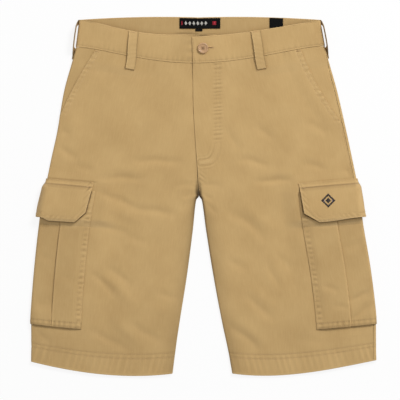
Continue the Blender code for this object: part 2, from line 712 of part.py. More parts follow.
def side_loop_place(side, along, level, off):
    """A point of a side loop: along its width from the lower edge, and off its middle.

    At its tacks it lies under the back and turns up round the side fold. Between them it
    slides out until it stands upright, a little way out from the fold.
    """
    part = even(level, TOP, LOOP_END)
    rise, upright, back = SIDE_FREED
    free = smooth(part, 0.0, rise) * (1.0 - smooth(part, upright, back))
    higher, flatter = SIDE_BOW
    stand = SIDE_STAND * max(math.sin(math.pi * part**higher), 0.0) ** flatter
    lift = mix(BAND / 2, TWILL / 2, even(level, 0.0, LOOP_END)) + SEAM + LOOP / 2
    out = lift + stand
    floor = rest(side, QUARTER, level) - lift
    radius = mix(FOLD + lift, SIDE_CORNER, free)
    flat = mix(SIDE_UNDER, radius - out, free) + out - radius
    turn = min(max((along - flat) / radius, 0.0), math.pi / 2)
    up = max(along - flat - radius * math.pi / 2, 0.0)
    across = radius - out + max(flat - along, 0.0)
    across -= (radius + off) * math.sin(turn) + SIDE_LEAN * up
    x, y = plan(side, False, across, level)
    return x, y, floor + radius - (radius + off) * math.cos(turn) + up


def make_side_loop(side):
    """Tacked behind the side fold, and standing off the edge of the band between."""
    stations = [LOOP_WIDTH * share / 12 for share in range(13)]
    levels = (TOP, -42.0, -39.0, -34.0, -24.0, -12.0, -2.0, 3.0, 8.0, 12.0, 16.0, LOOP_END)

    def place(column, level, skin):
        return side_loop_place(side, column, level, skin * LOOP / 2)

    return wall(f"belt_loop_side_{side}", stations, levels, place, twill)


def make_back_loop():
    """Flat under the centre back, between the band and the surface."""

    def place(column, level, skin):
        base = mix(BAND / 2, TWILL / 2, even(level, 0.0, LOOP_END))
        lift = base + SEAM + LOOP / 2 + skin * LOOP / 2
        return back_place(column * LOOP_WIDTH / 2, level, lift)

    levels = (TOP, -HALF_SEAM, HALF_SEAM, LOOP_END)
    return wall("belt_loop_back", (-1, 0, 1), levels, place, twill)


def make_label(name, edges, cloth):
    """A flat piece on the inner face of the back waistband, which faces up."""
    start, end, top, bottom = edges
    inside = [line for line in BACK_LOOP_LINES if start < line < end]

    def place(column, level, skin):
        lift = -(BAND / 2 + SEAM + LABEL / 2) - skin * LABEL / 2
        return back_place(column, TOP + level, lift)

    return wall(name, [start, *inside, end], (top, bottom), place, cloth)


def make_button():
    """A turned button with a rim round a shallow well, and four holes for its thread."""
    top, well = BUTTON_THICK, BUTTON_THICK - BUTTON_WELL
    profile = (
        (0.0, 0.0),
        (BUTTON_RADIUS - 1.2, 0.0),
        (BUTTON_RADIUS, 1.0),
        (BUTTON_RADIUS, top - 0.9),
        (BUTTON_RADIUS - 0.8, top),
        (BUTTON_RADIUS - BUTTON_RIM + 0.6, top),
        (BUTTON_RADIUS - BUTTON_RIM - 0.6, well),
        (0.0, well),
    )
    bm = bmesh.new()
    points = [bm.verts.new((radius, 0, height)) for radius, height in profile]
    edges = [bm.edges.new(pair) for pair in zip(points, points[1:])]
    bmesh.ops.spin(
        bm, geom=points + edges, axis=(0, 0, 1), cent=(0, 0, 0),
        angle=math.tau, steps=BUTTON_SIDES, use_merge=True,
    )
    bmesh.ops.remove_doubles(bm, verts=bm.verts[:], dist=0.001)
    x, y, z = button_seat()
    bmesh.ops.translate(bm, vec=(x, y, z), verts=bm.verts[:])
    body = finish(bm, "button", plastic)
    for index in range(4):
        angle = math.radians(45 + 90 * index)
        cutter = bmesh.new()
        bmesh.ops.create_cone(
            cutter, cap_ends=True, segments=8, radius1=BUTTON_HOLE, radius2=BUTTON_HOLE,
            depth=3 * BUTTON_THICK,
        )
        off_x, off_y = BUTTON_HOLE_RING * math.cos(angle), BUTTON_HOLE_RING * math.sin(angle)
        bmesh.ops.translate(cutter, vec=(x + off_x, y + off_y, z), verts=cutter.verts[:])
        tool = finish(cutter, f"button_hole_{index + 1}", plastic)
        tool.hide_render = True
        tool.display_type = "WIRE"
        cut = body.modifiers.new(f"hole {index + 1}", "BOOLEAN")
        cut.operation = "DIFFERENCE"
        cut.object = tool
    return body


def button_seat():
    """Where the button rests: just above the highest point of the band under it."""
    side = "left"
    row = row_at(side, BUTTON_DOWN)
    s = QUARTER + row.outer_x - BUTTON_X - FOLD
    lift = BAND + SEAM + BAND / 2 + SEAM
    places = [lay(side, s + off, BUTTON_DOWN, lift) for off in (-BUTTON_RADIUS, 0, BUTTON_RADIUS)]
    return places[1][0], places[1][1], max(place[2] for place in places)


# ------------------------------------------------------------------ the shorts

for old in list(bpy.data.objects):
    bpy.data.objects.remove(old, do_unlink=True)

garment = bpy.data.objects.new("cargo_shorts", None)
bpy.context.scene.collection.objects.link(garment)

twill = material("khaki cotton twill", (0.55, 0.37, 0.19), 0.9)
plastic = material("tan button plastic", (0.50, 0.33, 0.22), 0.45)
woven_black = material("black woven label", (0.012, 0.011, 0.010), 0.8)

for side in ("left", "right"):
    make_back(side)
    make_hip_facing(side)
    make_front(side)
    make_front_band(side)
    make_cargo_pocket(side)
    make_cargo_flap(side)
    make_front_loop(side)
    make_side_loop(side)
make_back_band()
make_back_loop()
make_label("waist_label", WAIST_LABEL, woven_black)
make_label("size_tab", SIZE_TAB, woven_black)
make_label("care_tab", CARE_TAB, woven_black)
make_button()
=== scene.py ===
import math
import random
from collections import namedtuple
from functools import lru_cache

import bmesh
import bpy
import numpy as np
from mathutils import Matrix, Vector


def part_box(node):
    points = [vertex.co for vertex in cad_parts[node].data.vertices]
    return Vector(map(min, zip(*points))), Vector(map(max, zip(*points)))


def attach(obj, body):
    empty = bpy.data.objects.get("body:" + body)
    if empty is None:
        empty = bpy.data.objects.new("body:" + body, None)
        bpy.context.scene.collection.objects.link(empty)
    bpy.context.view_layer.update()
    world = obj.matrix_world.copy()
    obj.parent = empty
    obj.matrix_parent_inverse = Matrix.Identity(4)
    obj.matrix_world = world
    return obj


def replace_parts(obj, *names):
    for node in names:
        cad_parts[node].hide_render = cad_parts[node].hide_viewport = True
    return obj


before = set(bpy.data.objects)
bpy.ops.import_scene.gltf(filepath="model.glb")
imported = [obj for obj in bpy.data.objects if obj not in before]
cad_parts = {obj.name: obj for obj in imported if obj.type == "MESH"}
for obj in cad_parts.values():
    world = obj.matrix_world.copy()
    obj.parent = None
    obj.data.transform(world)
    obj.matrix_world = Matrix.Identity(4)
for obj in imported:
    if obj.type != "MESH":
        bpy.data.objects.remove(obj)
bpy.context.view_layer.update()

# ---------------------------------------------------------------- surface, light and camera
# The shorts lie on a board of lit opal glass, under a large soft lamp that stands off beyond
# the waist, to the right, and are seen from straight above through a long lens.


def linear(code):
    """An sRGB hex colour as linear red, green, blue and alpha."""
    shares = [int(code[at:at + 2], 16) / 255 for at in (0, 2, 4)]
    return (*[v / 12.92 if v <= 0.04045 else ((v + 0.055) / 1.055) ** 2.4 for v in shares], 1.0)


def add(tree, kind, inputs, **settings):
    """Adds a node with its settings. Each input takes a value or the socket it is linked to."""
    made = tree.nodes.new(kind)
    for name, value in settings.items():
        setattr(made, name, value)
    for name, value in inputs.items():
        if isinstance(value, bpy.types.NodeSocket):
            tree.links.new(value, made.inputs[name])
        else:
            made.inputs[name].default_value = value
    return made


def blank(name, settings):
    """A new material whose shader has these settings, its node tree and its shader."""
    made = bpy.data.materials.new(name)
    made.use_nodes = True
    shader = made.node_tree.nodes["Principled BSDF"]
    for key, value in settings.items():
        shader.inputs[key].default_value = value
    return made, made.node_tree, shader


def plain(name, colour, settings):
    """A new material of one colour."""
    return blank(name, {"Base Color": linear(colour), **settings})[0]


def written(bm, name):
    """The mesh of a bmesh, which is freed."""
    mesh = bpy.data.meshes.new(name)
    bm.to_mesh(mesh)
    bm.free()
    return mesh


def placed(name, data):
    """A new object in the scene."""
    made = bpy.data.objects.new(name, data)
    bpy.context.scene.collection.objects.link(made)
    return made


# Opal glass lit from below: even and white, so that hardly any shadow shows on it.
board_white = plain("lit opal glass", "606060", {
    "Roughness": 0.9, "Specular IOR Level": 0.1,
    "Emission Color": linear("FFFFFF"), "Emission Strength": 0.868,
})

BOARD_HALF, BOARD_BELOW = 2.0, 0.0004       # m: its half width, and how far below the cloth
bm = bmesh.new()
bmesh.ops.create_grid(bm, x_segments=2, y_segments=2, size=BOARD_HALF)
bmesh.ops.translate(bm, vec=(0, 0, -BOARD_BELOW), verts=bm.verts[:])
board = placed("board", written(bm, "board"))
board.data.materials.append(board_white)

world = bpy.data.worlds.new("soft ceiling")
world.use_nodes = True
bpy.context.scene.world = world
background = world.node_tree.nodes["Background"].inputs
background["Color"].default_value = linear("FFFFFF")
background["Strength"].default_value = 0.43


def aimed(name, lamp, tilt, turn, distance):
    """Hangs a lamp that points at the middle: its tilt off the vertical and its bearing."""
    tilt, turn = math.radians(tilt), math.radians(turn)
    holder = placed(name, lamp)
    holder.rotation_euler = (0.0, tilt, turn)
    reach = distance * math.sin(tilt)
    holder.location = (reach * math.cos(turn), reach * math.sin(turn), distance * math.cos(tilt))


key = bpy.data.lights.new("key", "AREA")
key.shape = "DISK"
key.size = 1.5
key.energy = 141.0
aimed("key", key, tilt=47.0, turn=54.0, distance=4.4)

fill = bpy.data.lights.new("fill", "SUN")
fill.energy = 0.22
fill.angle = math.radians(60.0)
aimed("fill", fill, tilt=38.0, turn=190.0, distance=4.0)

LENS, SENSOR = 400.0, 36.0      # mm
SEEN = 0.660                    # width of the surface that the view takes in, m
camera_data = bpy.data.cameras.new("camera")
camera_data.lens = LENS
camera_data.sensor_width = SENSOR
camera_data.clip_end = 20.0
camera = placed("camera", camera_data)
camera.location = (-0.00528, -0.00578, 0.005 + SEEN * LENS / SENSOR)
bpy.context.scene.camera = camera
bpy.context.scene.view_settings.view_transform = "Standard"

# ---------------------------------------------------------------- the two backs
# Each back is one piece of washed cotton twill, from the side seam round the side fold to
# the centre seam and the inseam. It lies flat on the surface, and everything rests on it.

# Walls and spaces, mm
TWILL, BAND, FLAP, HEM, LOOP = 1.0, 2.0, 1.8, 1.6, 1.2
SEAM = 0.3
HALF_SEAM = SEAM / 2
LAYER = TWILL + SEAM
FOLD = 2.0
QUARTER = FOLD * math.pi / 2

# A leg is a flattened ring of cloth. A place on it is s, the distance round the cloth from
# the side fold (+ over the front, - under the back), and down, from the waist seam.
CENTRE_X = -6.8
Row = namedtuple("Row", "down outer_x outer_y front_x front_y back_x back_y sag")
TOP, CROTCH, LEG_END = -45.0, 230.0, 524.0
CROTCH_ARCH = 236.5         # level at which the round arch between the legs has opened
ROWS = {
    "right": (
        Row(TOP, -203.6, 291.6, -5.3, 267.5, CENTRE_X, 295.6, 0.0),
        Row(0.0, -209.4, 246.7, -5.3, 219.8, CENTRE_X, 249.1, 0.0),
        Row(73.0, -228.7, 175.7, -6.3, 151.0, CENTRE_X, 172.4, 0.0),
        Row(143.0, -240.6, 106.4, -6.9, 83.3, CENTRE_X, 93.2, 0.0),
        Row(184.0, -249.5, 66.1, -9.8, 45.8, CENTRE_X, 50.0, 0.0),
        Row(222.0, -256.9, 29.9, -8.5, 8.0, -7.4, 8.7, 0.0),
        Row(CROTCH, -258.4, 22.3, -7.7, 0.0, -7.7, 0.0, 0.0),
        Row(CROTCH_ARCH, -259.6, 15.8, -12.0, -5.6, -12.0, -5.6, 0.1),
        Row(294.0, -268.8, -42.1, -17.5, -55.3, -17.5, -55.3, 1.0),
        Row(374.0, -277.5, -121.3, -27.6, -132.8, -27.6, -132.8, 2.5),
        Row(453.0, -283.3, -200.5, -39.9, -210.4, -39.9, -210.4, 5.0),
        Row(498.0, -283.1, -246.0, -47.5, -262.5, -47.5, -262.5, 9.2),
        Row(LEG_END, -283.4, -272.8, -51.4, -292.5, -51.4, -292.5, 10.9),
    ),
    "left": (
        Row(TOP, 192.1, 291.6, -18.5, 263.2, CENTRE_X, 295.6, 0.0),
        Row(0.0, 200.0, 248.3, -17.3, 219.8, CENTRE_X, 249.1, 0.0),
        Row(73.0, 220.2, 175.7, -16.2, 151.0, CENTRE_X, 172.4, 0.0),
        Row(143.0, 236.2, 106.4, -12.4, 83.3, CENTRE_X, 93.2, 0.0),
        Row(184.0, 244.8, 66.1, -9.4, 45.8, CENTRE_X, 50.0, 0.0),
        Row(222.0, 252.3, 29.9, -7.4, 8.0, -6.2, 8.7, 0.0),
        Row(CROTCH, 253.9, 22.3, -5.9, 0.0, -5.9, 0.0, 0.0),
        Row(CROTCH_ARCH, 254.6, 15.8, -1.9, -5.6, -1.9, -5.6, 0.1),
        Row(294.0, 261.7, -42.1, 5.1, -55.3, 5.1, -55.3, 1.0),
        Row(374.0, 275.0, -121.3, 17.6, -132.8, 17.6, -132.8, 2.5),
        Row(453.0, 284.2, -200.5, 32.2, -210.4, 32.2, -210.4, 5.0),
        Row(498.0, 284.7, -245.6, 43.5, -262.4, 43.5, -262.4, 9.0),
        Row(LEG_END, 285.2, -270.2, 48.6, -292.3, 48.6, -292.3, 10.2),
    ),
}
Drop = namedtuple("Drop", "power reach soft")
WAIST_DROP = {
    "right": (Drop(0.75, 0.72, 1.0), Drop(0.76, 0.96, 1.0)),
    "left": (Drop(0.72, 1.0, 0.5), Drop(0.78, 1.0, 1.0)),
}
WAIST_CURVE_ENDS = 143.0
BACK_BOW = 2.6
SAG_SKEW = {"left": 0.35, "right": 0.12}
CROTCH_TURN = 30.0
SEAM_AT = {"left": (1.5, 5.0), "right": (1.5, 1.5)}
SEAM_SHIFTED = 60.0
DIP = 1.0
NEAR_SIDE, MID_LEG = 98.0, 132.0
BAND_ROOM, YOKE, INNER_STRIP = 0.5, 34.0, 40.0
RAMP_DOWN, RAMP_ACROSS = 14.0, 10.0
POCKET_SHIFT = {"left": 6.0, "right": -6.0}
POCKET_HALF, POCKET_TOP, POCKET_END, POCKET_RISE = 88.0, CROTCH_ARCH, 463.0, 16.0
PLEAT = 38.0
PLEAT_FOOT = PLEAT - RAMP_DOWN
FLAP_TOP, FLAP_HELD, FLAP_END = 222.0, 227.5, 286.0
FLAP_LOW = TWILL / 2 + SEAM + FLAP / 2
FLAP_HIGH = 3 * LAYER + TWILL / 2 + SEAM + FLAP / 2
HEM_RAMP, HEM_TOP = 479.0, 493.0
LOOP_END = 21.0
BACK_LOOP_LINES = (-25.0, -9.0, 0.0, 9.0, 25.0)


def even(value, start, end):
    """0 before start, 1 after end, and evenly between them."""
    return min(max((value - start) / (end - start), 0.0), 1.0)


def smooth(value, start, end):
    """0 before start, 1 after end, and softly between them."""
    part = even(value, start, end)
    return part * part * (3.0 - 2.0 * part)


def mix(first, second, part):
    return first + (second - first) * part


def bell(off, width):
    """1 in the middle, and falling softly to 0 on both sides."""
    return math.exp(-((off / width) ** 2))


@lru_cache(maxsize=None)
def row_at(side, down):
    """The row at any level, on a smooth curve through the rows of the table."""
    rows = ROWS[side]
    last = len(rows) - 2
    here = 0
    while here < last and down > rows[here + 1].down:
        here += 1
    before, after = rows[max(here - 1, 0)], rows[min(here + 2, last + 1)]
    start, end = rows[here], rows[here + 1]
    length = end.down - start.down
    t = (down - start.down) / length
    values = [down]
    for p, q, r, z in list(zip(before, start, end, after))[1:]:
        slope_in = (r - p) / (end.down - before.down) * length
        slope_out = (z - q) / (after.down - start.down) * length
        if start.down == TOP or end.down == after.down:
            slope_in, slope_out = r - q, r - q
        values.append(
            (2 * t**3 - 3 * t**2 + 1) * q
            + (t**3 - 2 * t**2 + t) * slope_in
            + (3 * t**2 - 2 * t**3) * r
            + (t**3 - t**2) * slope_out
        )
    return Row(*values)


@lru_cache(maxsize=None)
def inner_turn(down):
    """How far the cloth turns down at its inner edge: not above the fork, and fully below it."""
    return math.pi / 2 * even(down, CROTCH - CROTCH_TURN, CROTCH)


def inner_end(row, front):
    """x and y of the inner end of a row, of the front or of the back."""
    return (row.front_x, row.front_y) if front else (row.back_x, row.back_y)


@lru_cache(maxsize=None)
def span(side, front, down):
    """Width of a front or back at a level, seen from above."""
    row = row_at(side, down)
    x, y = inner_end(row, front)
    return math.hypot(x - row.outer_x, y - row.outer_y)


@lru_cache(maxsize=None)
def girth(side, front, down):
    """Distance round the cloth from the side fold to the inner edge."""
    turn = inner_turn(down)
    return QUARTER + span(side, front, down) - FOLD + FOLD * (turn - math.sin(turn))


def dropped(drop, part):
    """Share of the front's drop at a share of its width."""
    powered = min(part / drop.reach, 1.0) ** drop.power
    return mix(powered, smooth(powered, 0.0, 1.0), drop.soft)


def plan(side, front, across, down):
    """x and y at a distance in from the side fold, seen from above."""
    row = row_at(side, down)
    x, y = inner_end(row, front)
    part = across / span(side, front, down)
    curve = part
    if front and part > 0:
        bend = 1.0 - smooth(down, 0.0, WAIST_CURVE_ENDS)
        drops = [dropped(drop, part) for drop in WAIST_DROP[side]]
        curve = mix(part, mix(*drops, even(down, TOP, 0.0)), bend)
    bow = 4 * part * (1 - part)
    sag = row.sag * bow * (1 + SAG_SKEW[side] * (2 * part - 1))
    if not front:
        sag -= BACK_BOW * bow * (1 - even(down, TOP, 0.0))
    return mix(row.outer_x, x, part), mix(row.outer_y, y, curve) - sag


@lru_cache(maxsize=None)
def seam_at(side, down):
    """Where the side seam lies, from the side fold."""
    at_waist, below = SEAM_AT[side]
    return mix(at_waist, below, smooth(down, 0.0, SEAM_SHIFTED))


@lru_cache(maxsize=None)
def flap_lift(down):
    """Middle of the flap above the middle of the panel, where it lies on what is under it."""
    return mix(FLAP_LOW, FLAP_HIGH, even(down, FLAP_HELD, POCKET_TOP))


def pocket_cover(side, s, down):
    """Room that the cargo pocket takes outside the panel."""
    off = abs(s - POCKET_SHIFT[side])
    level = mix(LAYER, 3 * LAYER, even(off, PLEAT_FOOT, PLEAT))
    level = mix(level, LAYER, even(off, POCKET_HALF - POCKET_RISE, POCKET_HALF))
    level *= 1.0 - even(off, POCKET_HALF, POCKET_HALF + RAMP_ACROSS)
    level *= even(down, POCKET_TOP - RAMP_DOWN, POCKET_TOP)
    return level * (1.0 - even(down, POCKET_END, POCKET_END + RAMP_DOWN))


def flap_cover(side, s, down):
    """Room that the flap takes, over the pocket."""
    off = abs(s - POCKET_SHIFT[side])
    level = flap_lift(down) + FLAP / 2 - TWILL / 2
    level *= 1.0 - even(off, POCKET_HALF, POCKET_HALF + RAMP_ACROSS)
    level *= even(down, FLAP_TOP - RAMP_DOWN, FLAP_TOP)
    return level * (1.0 - even(down, FLAP_END, FLAP_END + RAMP_DOWN))


def loop_cover(side, reach, down):
    """Room for the side loop and the centre back loop under the band."""
    shift = POCKET_SHIFT[side]
    off_centre = abs(span(side, False, down) - reach)
    by_side = 1.0 - even(reach, PLEAT_FOOT - shift, PLEAT - shift)
    near = max(by_side, 1.0 - even(off_centre, *BACK_LOOP_LINES[-2:]))
    return near * (LOOP + SEAM) * (1.0 - even(down, LOOP_END, YOKE))


@lru_cache(maxsize=None)
def rest(side, reach, down):
    """Height of the middle of the back panel above the surface."""
    wall = mix(BAND / 2, TWILL / 2, even(down, 0.0, LOOP_END))
    hem = mix(TWILL / 2, HEM / 2, even(down, HEM_RAMP, HEM_TOP))
    under = max(pocket_cover(side, -reach, down), flap_cover(side, -reach, down))
    return max(wall + loop_cover(side, reach, down), hem + under)


@lru_cache(maxsize=None)
def front_height(side, reach, down):
    """Height of the middle of the front panel, before its creases."""
    at_side = rest(side, QUARTER, down) + 2 * FOLD
    width = span(side, True, down)
    part = min(max(reach / width, 0.0), 1.0)
    inner = rest(side, width - INNER_STRIP, down) + 2 * FOLD
    inner += BAND_ROOM * (1.0 - even(down, 0.0, YOKE))
    inner -= DIP * math.sin(math.pi * part) ** 2
    return mix(at_side, inner, smooth(reach, NEAR_SIDE, MID_LEG))


# Main creases with soft ends, mm: x and y of both ends, width, and height, of which + is a
# ridge and - a trough
FRONT_CREASES = (
    # hip and thigh, wearer's right
    (-120, 64, -32, 54, 6.0, -1.15), (-182, 26, -92, 34, 5.5, -0.95),
    (-170, 42, -84, 47, 8.0, 0.50), (-178, 9, -118, -15, 7.0, -1.10),
    (-136, -10, -40, -33, 6.5, -1.20), (-168, -17, -92, -42, 9.0, 0.70),
    (-184, -48, -126, -61, 6.0, -0.75), (-140, -60, -84, -75, 7.0, -0.65),
    (-246, 83, -206, 64, 7.0, -0.90), (-214, 57, -182, 38, 6.5, -0.70),
    (-244, 112, -214, 104, 6.0, -0.60),
    # lower leg, wearer's right
    (-158, -116, -120, -146, 7.0, -0.85), (-184, -126, -146, -168, 7.0, -1.00),
    (-166, -130, -118, -176, 8.0, 0.85), (-118, -203, -70, -243, 7.5, -0.95),
    (-150, -196, -104, -246, 9.0, 0.70), (-190, -221, -118, -259, 7.0, -0.85),
    (-80, -158, -40, -172, 6.5, -0.80), (-96, -178, -50, -196, 9.0, 0.55),
    (-276, -222, -252, -244, 6.0, -0.55),
    # hip and thigh, wearer's left
    (40, 118, 60, 72, 7.0, -0.65), (52, 60, 108, 51, 6.5, -1.00),
    (82, 23, 150, 31, 5.5, -1.35), (88, 38, 152, 44, 8.0, 0.55),
    (88, 117, 122, 94, 7.0, -0.70), (160, 54, 206, 42, 6.5, -0.90),
    (164, 124, 210, 103, 7.0, -0.75), (230, 47, 254, 29, 5.5, -0.80),
    (34, -16, 108, -77, 8.0, -1.05), (56, -10, 124, -62, 9.0, 0.60),
    (120, -93, 154, -121, 8.0, -0.70),
    # lower leg, wearer's left
    (40, -100, 76, -127, 6.5, -0.80), (107, -104, 125, -156, 6.0, -0.75),
    (62, -162, 124, -207, 7.5, -1.05), (74, -150, 128, -186, 9.0, 0.60),
    (38, -202, 94, -260, 7.0, -1.10), (58, -204, 104, -246, 9.0, 0.60),
    (144, -232, 196, -244, 8.0, -0.50),
    # cargo pockets
    (236, -171, 284, -150, 5.0, -1.15), (244, -200, 286, -174, 5.0, -1.25),
    (240, -186, 284, -163, 5.0, 0.70), (192, -147, 222, -158, 5.0, -0.70),
    (212, -183, 244, -182, 5.5, -0.60), (230, -90, 272, -66, 7.0, -0.60),
    (-276, -96, -246, -104, 7.0, -0.50), (-238, -128, -206, -140, 8.0, -0.45),
    # fork
    (-9, 8, -30, -7, 4.0, -0.80), (-12, -4, -38, -26, 4.5, -0.70),
    (-10, 20, -44, 14, 5.0, -0.55), (-4, 8, 18, -4, 4.0, -0.80),
    (0, -4, 24, -30, 4.5, -0.70), (-2, 24, 34, 18, 5.0, -0.50),
)
BACK_CREASES = (
    (-150, 20, -30, -22, 8.0, 0.60), (-130, 60, -24, 40, 9.0, 0.50),
    (-120, -150, -60, -215, 9.0, 0.50), (20, 42, 128, 66, 8.0, 0.60),
    (30, -20, 140, 12, 9.0, 0.55), (66, -196, 132, -140, 9.0, 0.50),
)
random.seed(7)
SWELLS = [
    (random.uniform(0, math.tau), random.uniform(34.0, 95.0), random.uniform(0, math.tau))
    for _ in range(9)
]
SWELL_HEIGHT = 0.10
CREASED = 1.45                  # every crease is this much deeper than its own height


def creases_at(x, y, creases):
    """Height of the creases at arrays of places, mm. Their lines wander a little."""
    warped_x = x + 2.4 * np.sin(y / 17.0 + 1.3) + 1.2 * np.sin(y / 7.3)
    warped_y = y + 2.6 * np.sin(x / 19.0 + 0.7) + 1.3 * np.sin(x / 8.1 + 2.0)
    total = np.zeros_like(x)
    for x0, y0, x1, y1, width, height in creases:
        along_x, along_y = x1 - x0, y1 - y0
        length = math.hypot(along_x, along_y)
        from_x, from_y = warped_x - x0, warped_y - y0
        t = np.clip((from_x * along_x + from_y * along_y) / length**2, 0.0, 1.0)
        off = (from_x * along_y - from_y * along_x) / length
        total += height * np.sin(np.pi * t) ** 0.8 * np.exp(-((off / width) ** 2))
    return total * CREASED


def swells_at(x, y):
    """The slight unevenness of washed cloth that was smoothed by hand."""
    total = np.zeros_like(x)
    for turn, length, phase in SWELLS:
        total += np.sin((x * math.cos(turn) + y * math.sin(turn)) * math.tau / length + phase)
    return total * SWELL_HEIGHT


def lay(side, s, down, lift=0.0):
    """x, y and z of a point of the cloth, mm, and how much of the creases it takes: the
    front's if positive, the back's if negative."""
    front = s >= 0
    reach = abs(s)
    width = span(side, front, down)
    if reach < QUARTER:
        angle = reach / FOLD
        out = FOLD + lift
        x, y = plan(side, front, FOLD - out * math.cos(angle), down)
        height = out * math.sin(angle)
        return x, y, rest(side, QUARTER, down) + FOLD + (height if front else -height), 0.0
    last_turn = inner_turn(down)
    to_edge = girth(side, front, down) - reach
    turn = max(last_turn - to_edge / FOLD, 0.0) if last_turn else 0.0
    across = FOLD + reach - QUARTER
    if turn:
        short = FOLD * (math.sin(last_turn) - math.sin(turn)) - lift * math.sin(turn)
        across = width - short
    x, y = plan(side, front, across, down)
    drop = FOLD * (1 - math.cos(turn))
    share = smooth(across, 3.0, 14.0)
    share *= mix(1.0, smooth(width - across, 2.0, 12.0), last_turn * 2 / math.pi)
    if not front:
        return x, y, rest(side, reach, down) + drop - lift * math.cos(turn), -share
    z = front_height(side, min(reach, width), down)
    return x, y, z - drop + lift * math.cos(turn), share


def settle(places):
    """Adds the creases to an array of what lay() returns, and gives places in metres."""
    x, y, z, share = places.T
    top = np.maximum(share, 0.0) * (creases_at(x, y, FRONT_CREASES) + swells_at(x, y))
    under = np.maximum(-share, 0.0) * creases_at(x, y, BACK_CREASES)
    return np.stack((x, y, z + top + under), axis=1) / 1000.0


def wave(at, pitch, seed):
    """An uneven ripple between -1 and 1, as where thread draws cloth up."""
    drift = 0.8 * math.sin(math.tau * at / (pitch * 4.3) + seed)
    swell = 0.70 + 0.30 * math.sin(math.tau * at / (pitch * 6.1) + 2.0 * seed)
    return swell * math.sin(math.tau * at / pitch + drift + seed)


def groove(off, width, depth):
    """How deep a row of stitches draws the cloth in at a distance from it."""
    return depth * bell(off, width)


def rounded(*distances):
    """Share of a wall's thickness near its cut edges."""
    near = min(min(distances) / 0.6, 1.0)
    return math.sqrt(max(0.10, 1.0 - (1.0 - near) ** 2))


def steps(start, end, step):
    """Values from just after start to just before end, at most step apart."""
    count = max(math.ceil((end - start) / step), 1)
    return [mix(start, end, index / count) for index in range(1, count)]


def as_object(bm, name, look, worn_and_shaded=None, cloth_uv=None):
    """Writes a bmesh as an object whose faces point outwards."""
    bmesh.ops.recalc_face_normals(bm, faces=bm.faces[:])
    if bm.calc_volume(signed=True) < 0:
        bmesh.ops.reverse_faces(bm, faces=bm.faces[:])
    mesh = written(bm, name)
    mesh.shade_smooth()
    if worn_and_shaded is not None:
        mesh.attributes.new("worn_and_shaded", "FLOAT", "POINT").data.foreach_set("value", worn_and_shaded)
    if cloth_uv is not None:
        corners = np.empty(len(mesh.loops), dtype=np.int32)
        mesh.loops.foreach_get("vertex_index", corners)
        layer = mesh.uv_layers.new(name="cloth")
        layer.uv.foreach_set("vector", cloth_uv[corners].ravel())
    mesh.materials.append(look)
    piece = placed(name, mesh)
    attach(piece, "root")
    return piece


def slope_shade(side, s, down):
    """Painted light and shade where the front goes over the edge of the layers below it, against
    the shading of its slopes: darker where it tilts towards the lamp, paler past the edge where it
    tilts away.
    """
    if s < QUARTER:
        return 0.0
    ends = [min(max(down + step, TOP), LEG_END) for step in (-2.0, 2.0)]
    low, high = (front_height(side, min(s, span(side, True, end)), end) for end in ends)
    slope = (high - low) / (ends[1] - ends[0])
    return -0.45 * slope if slope > 0 else -0.9 * slope


def cloth(name, count, levels, spot, look, place=lay):
    """A closed thin wall: a sheet of count columns by these levels, with two skins.

    spot(column, level, skin) gives side, s, down and lift, and how worn the cloth is there with the
    light and shade painted on it.
    """
    wide, tall = count - 1, len(levels) - 1
    bm = bmesh.new()
    bmesh.ops.create_grid(bm, x_segments=wide, y_segments=tall, size=0.5)
    shell = bmesh.ops.extrude_face_region(bm, geom=bm.faces[:], use_keep_orig=True)
    outer = [item for item in shell["geom"] if isinstance(item, bmesh.types.BMVert)]
    bmesh.ops.translate(bm, vec=(0, 0, 1), verts=outer)
    places = np.empty((len(bm.verts), 4))
    flat = np.empty((len(bm.verts), 2))
    worn_and_shaded = np.empty(len(bm.verts))
    for index, vert in enumerate(bm.verts):
        column = round((vert.co.x + 0.5) * wide)
        level = levels[round((vert.co.y + 0.5) * tall)]
        side, s, down, lift, wear_and_shade = spot(column, level, 1 if vert.co.z > 0.5 else -1)
        places[index] = place(side, s, down, lift)
        # painted light and shade that evens out the shading of the front's slopes
        if place is lay:
            wear_and_shade += slope_shade(side, s, down)
        flat[index] = s / 1000.0, -down / 1000.0
        worn_and_shaded[index] = wear_and_shade
    for vert, settled in zip(bm.verts, settle(places)):
        vert.co = settled
    return as_object(bm, name, look, worn_and_shaded, flat)


# Cotton twill, piece-dyed khaki and garment-washed: matt, with fine slanting ribs, uneven
# yarns, and paler fibres where seams stand proud. The real ribs are 0.7 mm apart and too
# fine to show, so they are drawn 1.5 mm apart.
RIB = 0.0015
BAND_PERIOD = 0.314             # a Wave texture of scale 1 repeats in this length


def noise(tree, vector, **settings):
    return add(tree, "ShaderNodeTexNoise", {"Vector": vector, **settings}).outputs["Fac"]


def ramp(tree, value, start, end, low, high):
    """A socket that goes from low to high while another goes from start to end."""
    return add(tree, "ShaderNodeMapRange", {
        "Value": value, "From Min": start, "From Max": end, "To Min": low, "To Max": high,
    }).outputs["Result"]


def blend(tree, share, first, second):
    """A share between two colours, of which each is a hex code or a socket."""
    first, second = (linear(end) if isinstance(end, str) else end for end in (first, second))
    return add(tree, "ShaderNodeMix", {
        0: share, 6: first, 7: second,
    }, data_type="RGBA").outputs[2]


